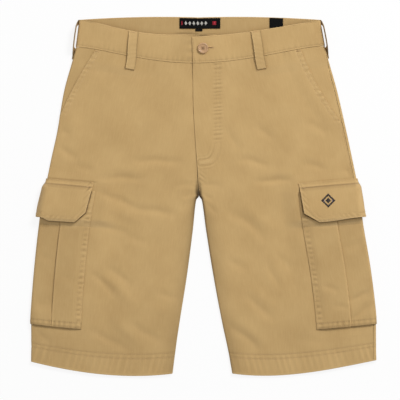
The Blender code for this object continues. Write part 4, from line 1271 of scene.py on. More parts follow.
def pocket_spot(side, path):
    skins = {skin: offset_path(path, -skin * TWILL / 2 * 0.9) for skin in (-1, 1)}
    shift = POCKET_SHIFT[side]
    seed = 0.4 if side == "left" else 3.3

    def spot(column, level, skin):
        across, lift = skins[skin][column]
        off, above = abs(path[column][0]), path[column][1]
        on_front = path[column][0] > 0
        half, pleat = (POCKET_FRONT[side], PLEAT_FRONT[side]) if on_front else (POCKET_HALF, PLEAT)
        edge = half - off
        low = POCKET_END - level
        outside = above > 2.3 * LAYER or off < pleat - 1.0 or edge < POCKET_RISE
        wear_and_shade = 0.0
        if outside:
            ripple = 0.42 * wave(level, PUCKER, seed) * bell(edge - 5.6, 3.6)
            ripple += 0.34 * wave(across, PUCKER, seed + 1.0) * bell(low - 6.0, 4.5)
            pressed = sum(groove(edge - row, 1.1, 0.20) + groove(low - row, 1.1, 0.20)
                          for row in POCKET_ROWS)
            lift += max(ripple + 0.1, -0.22) - pressed * 0.9
            # painted light and shade on the puckers, painted shade at the edges and along the
            # foot's rows, and a painted highlight just inside the sewn edge
            wear_and_shade = 0.60 * ripple - EDGE_SHADE[side] * fade(edge, 0.5) - 0.75 * fade(low, 0.9)
            wear_and_shade += 0.26 * bell(edge - 1.8, 1.2)
            wear_and_shade -= sum(groove(low - row, 1.1, 0.30) for row in POCKET_ROWS)
            # a painted highlight on the upper fold of the pleat
            if abs(off - pleat) < 3.0 and above > 2.3 * LAYER:
                wear_and_shade += 0.35 * fade(abs(off - pleat + 0.5), 1.0)
        # painted shade in the pleat, fading out at the foot
        if off < pleat - 0.6:
            wear_and_shade -= 0.30 * fade(pleat - off, 1.2) * (1.0 - smooth(level, 432.0, 444.0))
        # a little darker all over, with the flap's painted shadow along its edge and a painted
        # highlight beyond it against the flap's cast shadow
        beyond = flap_edge(side, path[column][0] + shift, level)
        wear_and_shade -= 0.10 + 1.25 * bell(beyond + 0.4, 1.1)
        wear_and_shade += 0.34 * bell(beyond + 5.6, 2.8)
        if above < 1.5 * LAYER:
            lift += foot_rise(side, path[column][0], level)
            # and below the flap the cloth inside the pleat stands a little fuller
            held = smooth(path[column][0] + shift, 6.0, 24.0) * (1.0 - smooth(level, 290.0, 330.0))
            lift += 0.9 * LAYER * held * smooth(pleat - path[column][0], 0.3, 2.6)
        under_flap = smooth(-level, -(FLAP_END + 4.0), -(FLAP_END - 10.0))
        # the mouth is pressed down by the flap, and the foot by its stitches
        sag = 0.0
        if above > 2.3 * LAYER:
            sag = 0.5 * smooth(level, 420.0, POCKET_END) + 0.2 * under_flap
        half_share = rounded(edge, low)
        return side, across + shift, level, lift - sag + (half_share - 1.0) * skin * 0.3, wear_and_shade

    return spot


for side in ("left", "right"):
    path = pocket_path(side)
    piece = cloth(
        f"cargo_pocket_{side}_cloth", len(path), POCKET_LEVELS, pocket_spot(side, path), twill,
    )
    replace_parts(piece, f"cargo_pocket_{side}")
    cut = {"left": 0.238, "right": 0.234}[side]

    shift = POCKET_SHIFT[side]
    stitches = []
    for row in POCKET_ROWS:
        down = POCKET_END - row
        for hand, half, pleat in ((1, POCKET_FRONT[side], PLEAT_FRONT[side]),
                                  (-1, POCKET_HALF, PLEAT)):
            rise = half - POCKET_RISE
            lift = LAYER + 2 * LAYER * row / POCKET_RISE + OVER - 0.1
            start = POCKET_TOP + 4.0
            stitches += row_of([(side, hand * (half - row) + shift, level, lift)
                                for level in (start, *steps(start, down, 3.0))])
            stitches += row_of([(side, hand * off + shift, down, 3 * LAYER + OVER - 0.55)
                                for off in (*steps(pleat + 1.0, rise, 3.0), rise)])
            stitches += row_of([
                (side, hand * rise + shift, down, 3 * LAYER + OVER - 0.6),
                (side, hand * (half - 1.5) + shift, down, LAYER + OVER + 0.1),
            ])
        turns = steps(-PLEAT + 2.0, PLEAT_FRONT[side] - 2.0, 1.5)
        stitches += row_of([
            (side, s + shift, down, LAYER + OVER - 0.2 + foot_rise(side, s, down)) for s in turns
        ])
    thread_mesh(f"pocket_stitches_{side}", stitches, thread)

# ---------------------------------------------------------------- cargo flaps
# Two layers of twill, turned and topstitched, sewn on above the pocket by their upper edge
# and folded down over it. The lower corners are cut off, and the loose end stands proud.

FLAP_STANDOFF = 3.0             # how far the loose end stands off
FLAP_NECK = 226.0               # level at which the flap's width is taken for its tacks
FLAP_NEAR = (0.0, 0.3, 0.8, 1.5, 2.4, 3.4, 4.6, 6.0, 7.4, 8.8, 10.2)
FLAP_MIDDLE = 68
FLAP_LEVELS = [222.0, 222.3, 222.8, 223.4, 224.0, 224.8, 225.6, 226.3, 227.0, 227.8, 228.8]
FLAP_LEVELS += [*steps(228.8, 233.6, 0.8), 233.6, *steps(233.6, 274.0, 1.8), 274.0, 275.2]
FLAP_LEVELS += [276.4, 277.6, 278.8, 280.2, 281.6, 282.8, 283.8, 284.7, 285.4, 285.8, FLAP_END]
FLAP_ROWS = (2.2, 8.4)          # topstitch rows, from the free edges
FLAP_HEAD = (1.8, 8.4)          # the sewn row and the pressed one, from the upper edge
FLAP_HEAD_ROWS = tuple(FLAP_TOP + row for row in FLAP_HEAD)


def flap_down(side, s, level):
    """The level on the leg of a level on the flap, whose end slants on the front."""
    return level + flap_slant(side, s) * even(level, FLAP_CORNER, FLAP_END)


@lru_cache(maxsize=None)
def flap_columns(side, level):
    """Distances from the side fold of a flap's columns, from its front edge to its back one."""
    shift = POCKET_SHIFT[side]
    front, back = shift + flap_half(side, level), shift - flap_half("back", level)
    near = [front - step for step in FLAP_NEAR]
    last = [back + step for step in reversed(FLAP_NEAR)]
    first, final = near[-1], last[0]
    return near + [mix(first, final, index / FLAP_MIDDLE) for index in range(1, FLAP_MIDDLE)] + last


def flap_height(side, s, down):
    """Middle of the flap above the middle of the panel, with its ripples and pressed rows."""
    seed = 1.9 if side == "left" else 4.6
    loose = smooth(down, FLAP_HELD, FLAP_END)
    stand = FLAP_STANDOFF * loose * smooth(s, -QUARTER, 0.0)
    edge = flap_edge(side, s, down)
    ripple = 0.34 * wave(s + 0.8 * down, PUCKER, seed) * bell(edge - 5.2, 4.2)
    crown = 0.55 * smooth(edge, 4.0, 26.0) * loose
    pressed = sum(groove(edge - row, 1.0, 0.22) for row in FLAP_ROWS)
    top = down - FLAP_TOP
    pressed += groove(top - FLAP_HEAD[0], 0.7, 0.16) + groove(top - FLAP_HEAD[1], 1.2, 0.42)
    slack = 0.35 * math.sin(s / 13.0 + seed) * math.sin(math.pi * even(down, 232.0, 288.0))
    return flap_lift(down) + stand + ripple + crown - pressed + slack * loose


def flap_spot(side):
    def spot(column, level, skin):
        s = flap_columns(side, level)[column]
        down = flap_down(side, s, level)
        edge = flap_edge(side, s, down)
        free = rounded(edge / 1.6, (level - FLAP_TOP) / 1.2)
        # paler just inside the free edges, partly wear and partly painted highlight
        wear_and_shade = 0.40 * bell(edge - 1.2, 1.3)
        # the seam allowance makes a ridge under the upper edge, with a row pressed below it:
        # painted shade along the edge and in the row, and a painted highlight on the ridge
        wear_and_shade -= {"left": 0.10, "right": 0.28}[side] * bell(level - FLAP_TOP, 1.4)
        wear_and_shade += 0.16 * bell(level - FLAP_TOP - 5.6, 1.6)
        # painted light and shade on the puckers
        wear_and_shade += 0.25 * wave(s + 0.8 * level, PUCKER, 1.9) * bell(edge - 5.0, 4.0)
        wear_and_shade -= 0.55 * bell(level - FLAP_HEAD_ROWS[1], 1.2)
        wear_and_shade -= 0.14 * bell(level - FLAP_HEAD_ROWS[1] - 3.4, 2.6)
        # painted shade round the bar tack at each end of the pressed row
        end = min(s - POCKET_SHIFT[side] + flap_half("back", FLAP_NECK),
                  POCKET_SHIFT[side] + flap_half(side, FLAP_NECK) - s) - 6.0
        near = (end / 3.6) ** 2 + ((level - FLAP_HEAD_ROWS[1]) / 1.6) ** 2
        wear_and_shade -= 0.30 * math.exp(-near)
        if skin < 0:
            # the under side bulges less, so that the pocket below stays clear
            loose = smooth(level, FLAP_HELD, FLAP_END)
            height = flap_lift(level) + FLAP_STANDOFF * loose * smooth(s, -QUARTER, 0.0)
        else:
            height = flap_height(side, s, down)
        return side, s, down, height + skin * FLAP / 2 * free, wear_and_shade

    return spot


def flap_outline(side, part, row):
    """(across, level) along a row from the middle of the lower end to the upper edge."""
    hand = -1.0 if part == "back" else 1.0
    at_top, at_corner, at_end = FLAP_HALVES[part]
    shift = POCKET_SHIFT[side]
    low = FLAP_END + flap_slant(side, shift + hand * at_end)
    slope = (at_corner - at_end) / (low - FLAP_CORNER)
    turn = FLAP_CORNER - row * (math.hypot(1.0, slope) - 1.0) / slope
    foot = at_corner - slope * (low - row - FLAP_CORNER) - row * math.hypot(1.0, slope)
    points = [(hand * foot * index / 12,
               FLAP_END + flap_slant(side, shift + hand * foot * index / 12) - row)
              for index in range(13)]
    points.append((hand * (at_corner - row), turn))
    return points + [(hand * (at_top - row - 0.3), FLAP_TOP + 9.5)]


def flap_rows(side):
    """Two rows along the free edges, two along the upper edge, and a bar tack at each side."""
    shift = POCKET_SHIFT[side]
    made = []
    for row in FLAP_ROWS:
        points = list(reversed(flap_outline(side, "back", row)))[:-1]
        points += flap_outline(side, side, row)
        path = [
            (side, x + shift, down, flap_height(side, x + shift, down) + FLAP / 2 + 0.02)
            for x, down in finer(points, 1.6)
        ]
        made += row_of(path)
    for down in FLAP_HEAD_ROWS:
        front, back = flap_half(side, down) - 1.6, 1.6 - flap_half("back", down)
        path = [(side, s + shift, down, flap_height(side, s + shift, down) + FLAP / 2 + 0.02)
                for s in (back, *steps(back, front, 1.6), front)]
        made += row_of(path)
    for s in (shift + flap_half(side, FLAP_NECK) - 5.5, shift - flap_half("back", FLAP_NECK) + 5.5):
        lift = flap_height(side, s, FLAP_HEAD_ROWS[1]) + FLAP / 2 + 0.1
        made += tack(side, s, FLAP_HEAD_ROWS[1], lift, 8.0, width=2.2)
    return made


for side in ("left", "right"):
    piece = cloth(
        f"cargo_flap_{side}_cloth", len(flap_columns(side, 240.0)), FLAP_LEVELS, flap_spot(side),
        twill,
    )
    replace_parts(piece, f"cargo_flap_{side}")
    thread_mesh(f"flap_stitches_{side}", flap_rows(side), thread)

# A plain lozenge embroidered on the wearer's left flap: satin stitch in dark brown, round a
# small filled lozenge, with a short lilac grey bar on each side of the small one.
BADGE_X, BADGE_Y, BADGE_HALF, BADGE_BAND = 205.9, -6.6, 12.0, 4.4
BADGE_SIDE = 27                 # stitches along each side of the outline
BADGE_MIDDLE, BADGE_ROWS, BADGE_ROW = 4.9, 9, 0.5       # half of the small lozenge, its rows
# The bars: where each starts, how far a stitch reaches, half their height, and their rows
BAR_START, BAR_REACH, BAR_HALF, BAR_ROW = (-7.3, 6.2), (-0.2, 1.3), 1.8, 0.55
UPRIGHT = np.array((0.0, 0.0, 1.0))

# Rayon embroidery threads: smooth, and a little shinier than the cloth they stand on.
brown_thread = speckled(
    "dark brown embroidery thread", "3A2A1C", "2A1D14", {"Scale": 1400.0},
    {"Roughness": 0.45, "Sheen Weight": 0.2},
)
lilac_thread = plain("lilac grey embroidery thread", "A08E96", {
    "Roughness": 0.45, "Sheen Weight": 0.2,
})


def badge_thread(x0, y0, x1, y1):
    """One satin stitch between two places measured from the badge's middle."""
    ends = []
    for x, y in ((x0, y0), (x1, y1)):
        s, down = spot_at("left", BADGE_X + x, BADGE_Y + y, FLAP_TOP - 20.0, FLAP_END + 20.0)
        ends.append(("left", s, down, flap_height("left", s, down) + FLAP / 2 + 0.12))
    return *laid(ends), UPRIGHT


outline = []
corners = [(BADGE_HALF, 0.0), (0.0, BADGE_HALF), (-BADGE_HALF, 0.0), (0.0, -BADGE_HALF)]
inner = 1.0 - BADGE_BAND / BADGE_HALF
for (x0, y0), (x1, y1) in zip(corners, corners[1:] + corners[:1]):
    for index in range(BADGE_SIDE):
        share = index / BADGE_SIDE
        x, y = mix(x0, x1, share), mix(y0, y1, share)
        outline.append(badge_thread(x, y, x * inner, y * inner))
for index in range(-BADGE_ROWS, BADGE_ROWS + 1):
    y = index * BADGE_ROW
    reach = BADGE_MIDDLE - abs(y)
    if reach > 0.4:
        outline.append(badge_thread(-reach, y, reach, y))
thread_mesh("flap_embroidery", outline, brown_thread, width=0.75)
bars = [badge_thread(x + BAR_REACH[0], y, x + BAR_REACH[1], y)
        for x in BAR_START for y in np.arange(-BAR_HALF, BAR_HALF + 0.1, BAR_ROW)]
thread_mesh("flap_embroidery_bars", bars, lilac_thread, width=0.6)

# ---------------------------------------------------------------- waistband
# Folded twill over a stiff interlining, in three parts: the back, the wearer's right front,
# which runs on under the lap, and the left front, which laps over it and is buttoned.

UNDERLAP, BAND_HIGH = 27.0, -TOP
BAND_DENSE = (0.0, 0.35, 0.9, 1.7, 2.6, 3.6, 5.0)
BAND_LEVELS = [-HALF_SEAM - step for step in BAND_DENSE]
BAND_LEVELS += [-level for level in steps(5.15, 40.0, 2.3)]
BAND_LEVELS += [TOP + step for step in reversed(BAND_DENSE)]
BAND_ROWS = (3.4, 43.0)         # topstitch rows, up from the waist seam
BAND_COUNT = 100
BAND_SEED = {"left": 0.9, "right": 3.7}
LAP_FOLD, LAP_FOLD_PITCH = 19.8, 12.6       # height of one fold, and from each to the next


def band_relief(s, down, seed):
    """Ripples over the seams, rows pressed in, and the interlining's slight waves."""
    up = -down
    ripple = 0.24 * wave(s, PUCKER, seed) * bell(up - 6.0, 4.2)
    ripple += 0.09 * wave(s, 9.8, seed + 2.0) * bell(up - 39.0, 4.0)
    body = 0.22 * math.sin(s / 21.0 + seed) * math.sin(math.pi * even(up, 0.0, BAND_HIGH))
    return ripple + body - sum(groove(up - row, 1.0, 0.22) for row in BAND_ROWS)


BAND_NEAR = (0.0, 0.5, 1.1, 1.7, 2.4, 3.2, 4.6, 6.4)
BAND_LAST = (6.4, 4.6, 3.2, 2.2, 1.4, 0.8, 0.3, 0.0)


def front_band_s(side, column, level):
    """s of a column of the front band at a level, and s of the band's inner end."""
    start = seam_at(side, level) + HALF_SEAM
    end = girth(side, True, level) + (UNDERLAP if side == "right" else 0.0)
    if column < len(BAND_NEAR):
        return start + BAND_NEAR[column], end
    if column >= BAND_COUNT - len(BAND_LAST):
        return end - BAND_LAST[column - BAND_COUNT], end
    share = (column - len(BAND_NEAR) + 1) / (BAND_COUNT - len(BAND_NEAR) - len(BAND_LAST) + 1)
    return mix(start + BAND_NEAR[-1], end - BAND_LAST[0], share), end


@lru_cache(maxsize=None)
def lap_lift(side, inner):
    """How much the left band is lifted where it laps over the right one."""
    if side == "right":
        return 0.0
    return (BAND + SEAM) * (1.0 - smooth(inner, BAND_OVER, BAND_RAMP))


def front_band_spot(side):
    seed = BAND_SEED[side]

    def spot(column, level, skin):
        s, end = front_band_s(side, column, level)
        inner = end - s
        up = -level
        lift = lap_lift(side, inner)
        relief = band_relief(s, level, seed) - groove(inner - 2.2, 1.0, 0.16)
        if side == "right" and inner < UNDERLAP + 8.0 or skin < 0:
            relief = min(relief, 0.0) if skin > 0 else 0.0
        free = rounded((up - HALF_SEAM) / 1.3, (BAND_HIGH - up) / 1.3, inner / 1.3)
        # paler along the upper edge and the seam, partly wear and partly painted highlight, with
        # painted shade in the lower row and painted light and shade on the puckers
        wear_and_shade = 0.30 * fade(BAND_HIGH - up, 0.9) + 0.30 * bell(up - 1.5, 0.9)
        wear_and_shade -= 0.30 * bell(up - BAND_ROWS[0], 0.8)
        wear_and_shade += 0.12 * wave(s, PUCKER, seed) * bell(up - 6.0, 4.2)
        # a painted shadow line along the upper edge near the side, where the back band stands above
        # it
        wear_and_shade -= 0.9 * fade(BAND_HIGH - up, 0.8) * (1.0 - smooth(s, 20.0, 30.0))
        if side == "left":
            # a pale edge along the lap, partly wear and partly painted highlight
            wear_and_shade += 0.3 * fade(inner, 0.9)
        else:
            # the button draws soft folds into the band beside the lap: painted light and shade with
            # a little relief, and a wider painted shade round them
            drawn = bell(inner - UNDERLAP, 17.0)
            fold = drawn * math.cos(math.tau * (up - LAP_FOLD) / LAP_FOLD_PITCH)
            wear_and_shade -= 0.27 * fold + 0.45 * drawn * bell(BAND_HIGH - up, 4.5)
            wear_and_shade -= 0.09 * bell(inner - UNDERLAP - 20.0, 32.0)
            relief -= 0.10 * (drawn + fold) * (1 if skin > 0 else 0)
            # painted shade on the underlap, under the lapping band
            if inner < UNDERLAP + 2.0:
                wear_and_shade -= 0.25
        return side, s, level, lift + relief + skin * BAND / 2 * free, wear_and_shade

    return spot


def front_band_rows(side):
    """The band's lower and upper rows, and the one along the left band's end."""
    seed = BAND_SEED[side]
    made = []
    for row in BAND_ROWS:
        down = -row
        end = girth(side, True, down) - (2.2 if side == "left" else -UNDERLAP + 30.0)
        path = []
        for s in steps(QUARTER + 2.0, end, 2.0):
            lift = lap_lift(side, girth(side, True, down) - s)
            path.append((side, s, down, lift + band_relief(s, down, seed) + BAND / 2 + 0.03))
        made += row_of(path)
    if side == "left":
        path = []
        for down in steps(TOP + 1.0, -1.0, 2.0):
            s = girth(side, True, down) - 2.2
            path.append((side, s, down, BAND + SEAM + band_relief(s, down, seed) + BAND / 2))
        made += row_of(path)
    return made


for side, cut in (("left", 0.222), ("right", 0.236)):
    piece = cloth(f"waistband_{side}_cloth", BAND_COUNT, BAND_LEVELS, front_band_spot(side), twill)
    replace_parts(piece, f"waistband_{side}")
    thread_mesh(f"waistband_stitches_{side}", front_band_rows(side), thread)


def band_edge():
    """x and y along the upper edge of both fronts, in the order of x."""
    places = []
    for side in ("left", "right"):
        whole = girth(side, True, TOP)
        places += [lay(side, s, TOP)[:2] for s in steps(QUARTER, whole, 4.0)]
    return np.array(sorted(places)).T


BAND_EDGE = band_edge()


@lru_cache(maxsize=None)
def back_band_columns(level):
    """(side, s) from the right side seam round under the back to the left one."""
    made = []
    for side in ("right", "left"):
        start = seam_at(side, level) - HALF_SEAM
        whole = girth(side, False, level)
        wrap = [(side, mix(start, -QUARTER, part / 10)) for part in range(11)]
        flats = [(side, -mix(QUARTER, whole, part / 66)) for part in range(1, 67)]
        made.append(wrap + flats)
    return made[0] + list(reversed(made[1][:-1]))


def back_band_spot(column, level, skin):
    side, s = back_band_columns(level)[column]
    up = -level
    seed = 2.7
    along = s if side == "left" else -s
    free = rounded((up - HALF_SEAM) / 1.3, (BAND_HIGH - up) / 1.3)
    wear_and_shade = 0.35 * fade(BAND_HIGH - up, 0.9)
    relief = 0.0
    if skin < 0:
        # the inner face shows: a row under the edge with ripples below it, and painted shade,
        # darkest just above the front's upper edge
        ripple = 0.15 * wave(along, 9.0, seed) * bell(up - 38.5, 3.6)
        relief = groove(up - BAND_ROWS[1], 1.0, 0.2) - ripple
        x, y = lay(side, s, level)[:2]
        above = max(y - float(np.interp(x, *BAND_EDGE)), 0.0)
        middle = smooth(x, -52.0, -40.0) * (1.0 - smooth(x, 14.0, 24.0))
        wear_and_shade -= 0.17 + 0.14 * fade(above, 7.0) + 0.50 * middle * bell(above - 1.6, 1.3)
        relief *= smooth(abs(s), 2.0, 26.0)
    return side, s, level, relief + skin * BAND / 2 * free, wear_and_shade


piece = cloth(
    "waistband_back_cloth", len(back_band_columns(-1.0)), BAND_LEVELS, back_band_spot, twill,
)
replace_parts(piece, "waistband_back")

stitches = []
for side in ("left", "right"):
    for row in BAND_ROWS:
        whole = girth(side, False, -row)
        if row > 40.0:
            stitches += row_of([(side, -s, -row, -BAND / 2 + 0.14)
                                for s in steps(8.0, whole - 0.5, 2.5)])
        stitches += row_of([(side, -s, -row, BAND / 2 - 0.14)
                            for s in steps(QUARTER + 16.0, whole - 0.5, 2.5)])
thread_mesh("waistband_stitches_back", stitches, thread)

# ---------------------------------------------------------------- belt loops
# Strips of twill folded in three with two rows of stitches, tacked at both ends. The front
# ones turn under at the lower end. The side ones stand off behind the edge of the band.

LOOP_WIDTH, LOOP_TURNED, LOOP_SPRING = 15.0, 8.0, 1.9
LOOP_ROW = 5.8                  # stitch rows, from the loop's middle
FRONT_LOOPS = {"left": (107.4, 109.8), "right": (90.6, 95.4)}
LOOP_COLUMNS = (-1.0, -0.96, -0.88, -0.78, -0.66, -0.5, -0.25, 0.0, 0.25, 0.5, 0.66, 0.78, 0.88,
                0.96, 1.0)


def front_loop_path():
    """(down, lift) along a front loop, from its turned-under end up to its upper tack."""
    low = TWILL / 2 + SEAM + LOOP / 2
    fold = (LOOP + SEAM) / 2
    path = [(LOOP_END - LOOP_TURNED, low)]
    path += bend(LOOP_END - fold, low + fold, fold, -90, 180, parts=8)
    path.append((LOOP_END - LOOP_TURNED - 2.0, low + 2 * fold + 0.3))
    for down, spring in ((-8.0, LOOP_SPRING), (-26.0, LOOP_SPRING), (-38.0, 0.9), (TOP, 0.0)):
        path.append((down, BAND / 2 + SEAM + LOOP / 2 + spring))
    return finer(path, 2.0)


LOOP_PATH = front_loop_path()
LOOP_SKINS = {skin: offset_path(LOOP_PATH, skin * LOOP / 2) for skin in (-1, 1)}


def loop_middle(side, down):
    """Distance of a front loop's middle from the side fold."""
    return mix(*FRONT_LOOPS[side], even(down, TOP, LOOP_END))


def loop_sway(down):
    """How far a loop runs out of its line, mm."""
    return 0.35 * math.sin(down / 11.0)


def loop_spot(side):
    def spot(column, level, skin):
        share = LOOP_COLUMNS[column]
        down, lift = LOOP_SKINS[skin][level]
        edge = (1.0 - abs(share)) * LOOP_WIDTH / 2
        lift -= groove(edge - 1.7, 0.7, 0.20) * (1 if skin > 0 else 0)
        lift -= (1.0 - rounded(edge)) * 0.45 * skin
        lift += 0.20 * wave(down + share * 3.0, 8.0, 1.0)
        s = loop_middle(side, down) + share * LOOP_WIDTH / 2
        s += loop_sway(down)
        # painted shade along its edge towards the wearer's left, and a painted highlight along the
        # other
        toward = share if side == "right" else -share
        wear_and_shade = (-0.95 if toward > 0.0 else 0.45) * fade(edge, 0.7)
        # paler at the turned lower end and over all, with painted light and shade on the puckers
        wear_and_shade += 0.3 * smooth(down, LOOP_END - 2.0, LOOP_END)
        wear_and_shade += 0.10 * wave(down + share * 3.0, 8.0, 1.0) + 0.14
        return side, s, down, lift, wear_and_shade

    return spot


for side in ("left", "right"):
    piece = cloth(
        f"belt_loop_front_{side}_cloth", len(LOOP_COLUMNS), range(len(LOOP_PATH)), loop_spot(side),
        twill,
    )
    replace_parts(piece, f"belt_loop_front_{side}")
    stitches = []
    upper = [point for point in LOOP_SKINS[1] if point[1] > 2.6]
    for hand in (1, -1):
        path = []
        for down, lift in upper:
            s = loop_middle(side, down) + hand * LOOP_ROW + loop_sway(down)
            path.append((side, s, down, lift - 0.1))
        stitches += row_of(path)
    for down in (LOOP_END - 3.6, TOP + 2.2):
        lift = float(np.interp(-down, [-point[0] for point in upper], [p[1] for p in upper]))
        stitches += tack(side, loop_middle(side, down), down, lift + 0.05, 11.5, width=1.8)
    thread_mesh(f"belt_loop_stitches_front_{side}", stitches, thread)

SIDE_STAND = 2.7            # how far the upright part is out from where it would lie
SIDE_LEAN = 0.05            # its upper edge is out by this share of its height
SIDE_CORNER = 0.6           # radius of the turn at its foot, where it is upright
SIDE_UNDER = 11.6           # its lower edge lies this far in under the back at both tacks
SIDE_FREED = (0.16, 0.66, 0.92)     # shares of its length: upright from the first to the second
SIDE_BOW = (0.8, 0.45)      # the first moves the farthest place up, the second makes it flatter
SIDE_LOOP_COLUMNS = 31
SIDE_LOOP_LEVELS = [TOP, *steps(TOP, -38.0, 1.0), -38.0, *steps(-38.0, 5.0, 2.2), 5.0,
                    *steps(5.0, LOOP_END, 1.2), LOOP_END]


def side_loop_place(side, along, level, off):
    """A point of a side loop: along its width from the lower edge, and off its middle.

    At its tacks it lies under the back and turns up round the side fold. Between them it
    slides out until it stands upright, a little way out from the fold.
    """
    part = even(level, TOP, LOOP_END)
    rise, upright, back = SIDE_FREED
    free = smooth(part, 0.0, rise) * (1.0 - smooth(part, upright, back))
    higher, flatter = SIDE_BOW
    stand = SIDE_STAND * max(math.sin(math.pi * part**higher), 0.0) ** flatter
    lift = mix(BAND / 2, TWILL / 2, even(level, 0.0, LOOP_END)) + SEAM + LOOP / 2
    out = lift + stand
    floor = rest(side, QUARTER, level) - lift
    radius = mix(FOLD + lift, SIDE_CORNER, free)
    flat = mix(SIDE_UNDER, radius - out, free) + out - radius
    turn = min(max((along - flat) / radius, 0.0), math.pi / 2)
    up = max(along - flat - radius * math.pi / 2, 0.0)
    across = radius - out + max(flat - along, 0.0)
    across -= (radius + off) * math.sin(turn) + SIDE_LEAN * up
    x, y = plan(side, False, across, level)
    return x, y, floor + radius - (radius + off) * math.cos(turn) + up, 0.0


def side_loop_spot(side):
    def spot(column, level, skin):
        along = LOOP_WIDTH * column / (SIDE_LOOP_COLUMNS - 1)
        edge = min(along, LOOP_WIDTH - along)
        off = skin * LOOP / 2 * mix(0.55, 1.0, rounded(edge, level - TOP, LOOP_END - level)) * 0.95
        # painted shade on the loop away from its lower edge, so that the upright part shows as a
        # dark line
        return side, along, level, off, -0.75 * smooth(along, 3.0, 9.0)

    return spot


for side in ("left", "right"):
    piece = cloth(
        f"belt_loop_side_{side}_cloth", SIDE_LOOP_COLUMNS, SIDE_LOOP_LEVELS, side_loop_spot(side),
        twill, side_loop_place,
    )
    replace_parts(piece, f"belt_loop_side_{side}")

BACK_LOOP_X = (-7.5, -7.2, -6.6, -5.8, -4.9, -2.5, 0.0, 2.5, 4.9, 5.8, 6.6, 7.2, 7.5)


def back_place(off, down, lift):
    """Place on the back by the distance off the centre seam, + to the wearer's left."""
    side = "left" if off >= 0 else "right"
    return side, -(girth(side, False, down) - abs(off)), down, lift


def back_loop_spot(column, level, skin):
    off = BACK_LOOP_X[column]
    base = mix(BAND / 2, TWILL / 2, even(level, 0.0, LOOP_END))
    half = LOOP / 2 * rounded(LOOP_WIDTH / 2 - abs(off))
    return *back_place(off, level, base + SEAM + LOOP / 2 + skin * half), 0.0


piece = cloth(
    "belt_loop_back_cloth", len(BACK_LOOP_X),
    [TOP, *steps(TOP, -HALF_SEAM, 3.0), -HALF_SEAM, HALF_SEAM, *steps(HALF_SEAM, LOOP_END, 3.0),
     LOOP_END],
    back_loop_spot, twill,
)
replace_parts(piece, "belt_loop_back")

# ---------------------------------------------------------------- button and buttonhole
# A tan moulded polyester button with a rim and four holes, sewn on through the band with two
# parallel bars of thread, and done up through a buttonhole worked over with close stitches.

BUTTON_DOWN = -25.1
BUTTON_RADIUS, BUTTON_THICK, BUTTON_WELL = 9.0, 3.2, 1.0
BUTTON_HOLE, BUTTON_HOLE_RING = 1.0, 2.0

# Moulded polyester: satin, with faint swirls of a paler tan where it was cast.
button_tan = speckled(
    "tan moulded polyester", "C5A078", "AF875F",
    {"Scale": 260.0, "Detail": 3.0, "Distortion": 1.2}, {"Roughness": 0.38, "IOR": 1.52},
)

low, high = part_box("button")
button_at = ((low[0] + high[0]) / 2, (low[1] + high[1]) / 2, low[2])


def at_button(bm):
    """Brings a shape in mm, about the middle of the button's under side, to its place."""
    bmesh.ops.scale(bm, vec=(0.001, 0.001, 0.001), verts=bm.verts[:])
    bmesh.ops.translate(bm, vec=button_at, verts=bm.verts[:])


top, well = BUTTON_THICK, BUTTON_THICK - BUTTON_WELL
profile = (
    (0.0, 0.0), (6.6, 0.0), (7.8, 0.18), (8.6, 0.7), (BUTTON_RADIUS, 1.5),
    (8.95, 2.1), (8.7, 2.7), (8.2, 3.05), (7.6, top), (7.0, 3.12), (6.5, 2.85),
    (6.1, 2.5), (5.6, 2.28), (4.8, well), (3.4, well - 0.06), (0.0, well - 0.1),
)
bm = bmesh.new()
points = [bm.verts.new((radius, 0, height)) for radius, height in profile]
edges = [bm.edges.new(pair) for pair in zip(points, points[1:])]
bmesh.ops.spin(
    bm, geom=points + edges, axis=(0, 0, 1), cent=(0, 0, 0), angle=math.tau, steps=72,
    use_merge=True,
)
bmesh.ops.remove_doubles(bm, verts=bm.verts[:], dist=0.001)
at_button(bm)
button = as_object(bm, "button_moulded", button_tan)
for index in range(4):
    angle = math.radians(45 + 90 * index)
    bm = bmesh.new()
    bmesh.ops.create_cone(
        bm, cap_ends=True, segments=16, radius1=BUTTON_HOLE * 0.92, radius2=BUTTON_HOLE * 0.92,
        depth=3 * BUTTON_THICK,
    )
    off = (BUTTON_HOLE_RING * math.cos(angle), BUTTON_HOLE_RING * math.sin(angle), 0.0)
    bmesh.ops.translate(bm, vec=off, verts=bm.verts[:])
    at_button(bm)
    drill = placed("drill", written(bm, "drill"))
    cut = button.modifiers.new(f"hole {index + 1}", "BOOLEAN")
    cut.operation = "DIFFERENCE"
    cut.solver = "EXACT"
    cut.object = drill
    with bpy.context.temp_override(object=button, active_object=button):
        bpy.ops.object.modifier_apply(modifier=cut.name)
    bpy.data.objects.remove(drill, do_unlink=True)
button.data.set_sharp_from_angle(angle=math.radians(50))
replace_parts(button, "button")

# Spun polyester thread, matt and darker than the button, so that its holes show.
dark_thread = plain("brown buttonhole thread", "7C5C3C", {"Roughness": 0.6})

bx, by, bz = button_at
hole = BUTTON_HOLE_RING * math.sqrt(0.5) / 1000.0
sewn = []
for hand in (-1, 1):
    for shift_x in (-0.00028, 0.00028):
        x = bx + hand * hole + shift_x
        z = bz + (well + 0.25) / 1000.0
        sewn.append((np.array((x, by - hole - 0.0005, z)), np.array((x, by + hole + 0.0005, z)),
                     UPRIGHT))
thread_mesh("button_thread", sewn, dark_thread, width=0.62)

# The buttonhole runs from under the button towards the wearer's left.
SLIT_START, SLIT_END = 4.0, 16.6
SLIT_PITCH, SLIT_NEAR, SLIT_FAR = 0.5, 0.35, 1.85       # of its stitches, mm


def on_left_band(x, down, lift):
    """A place on the lapping band by its x, in metres."""
    s = across_at("left", x, down) - FOLD + QUARTER
    over = BAND + SEAM + band_relief(s, down, BAND_SEED["left"]) + BAND / 2
    return laid([("left", s, down, over + lift)])[0]


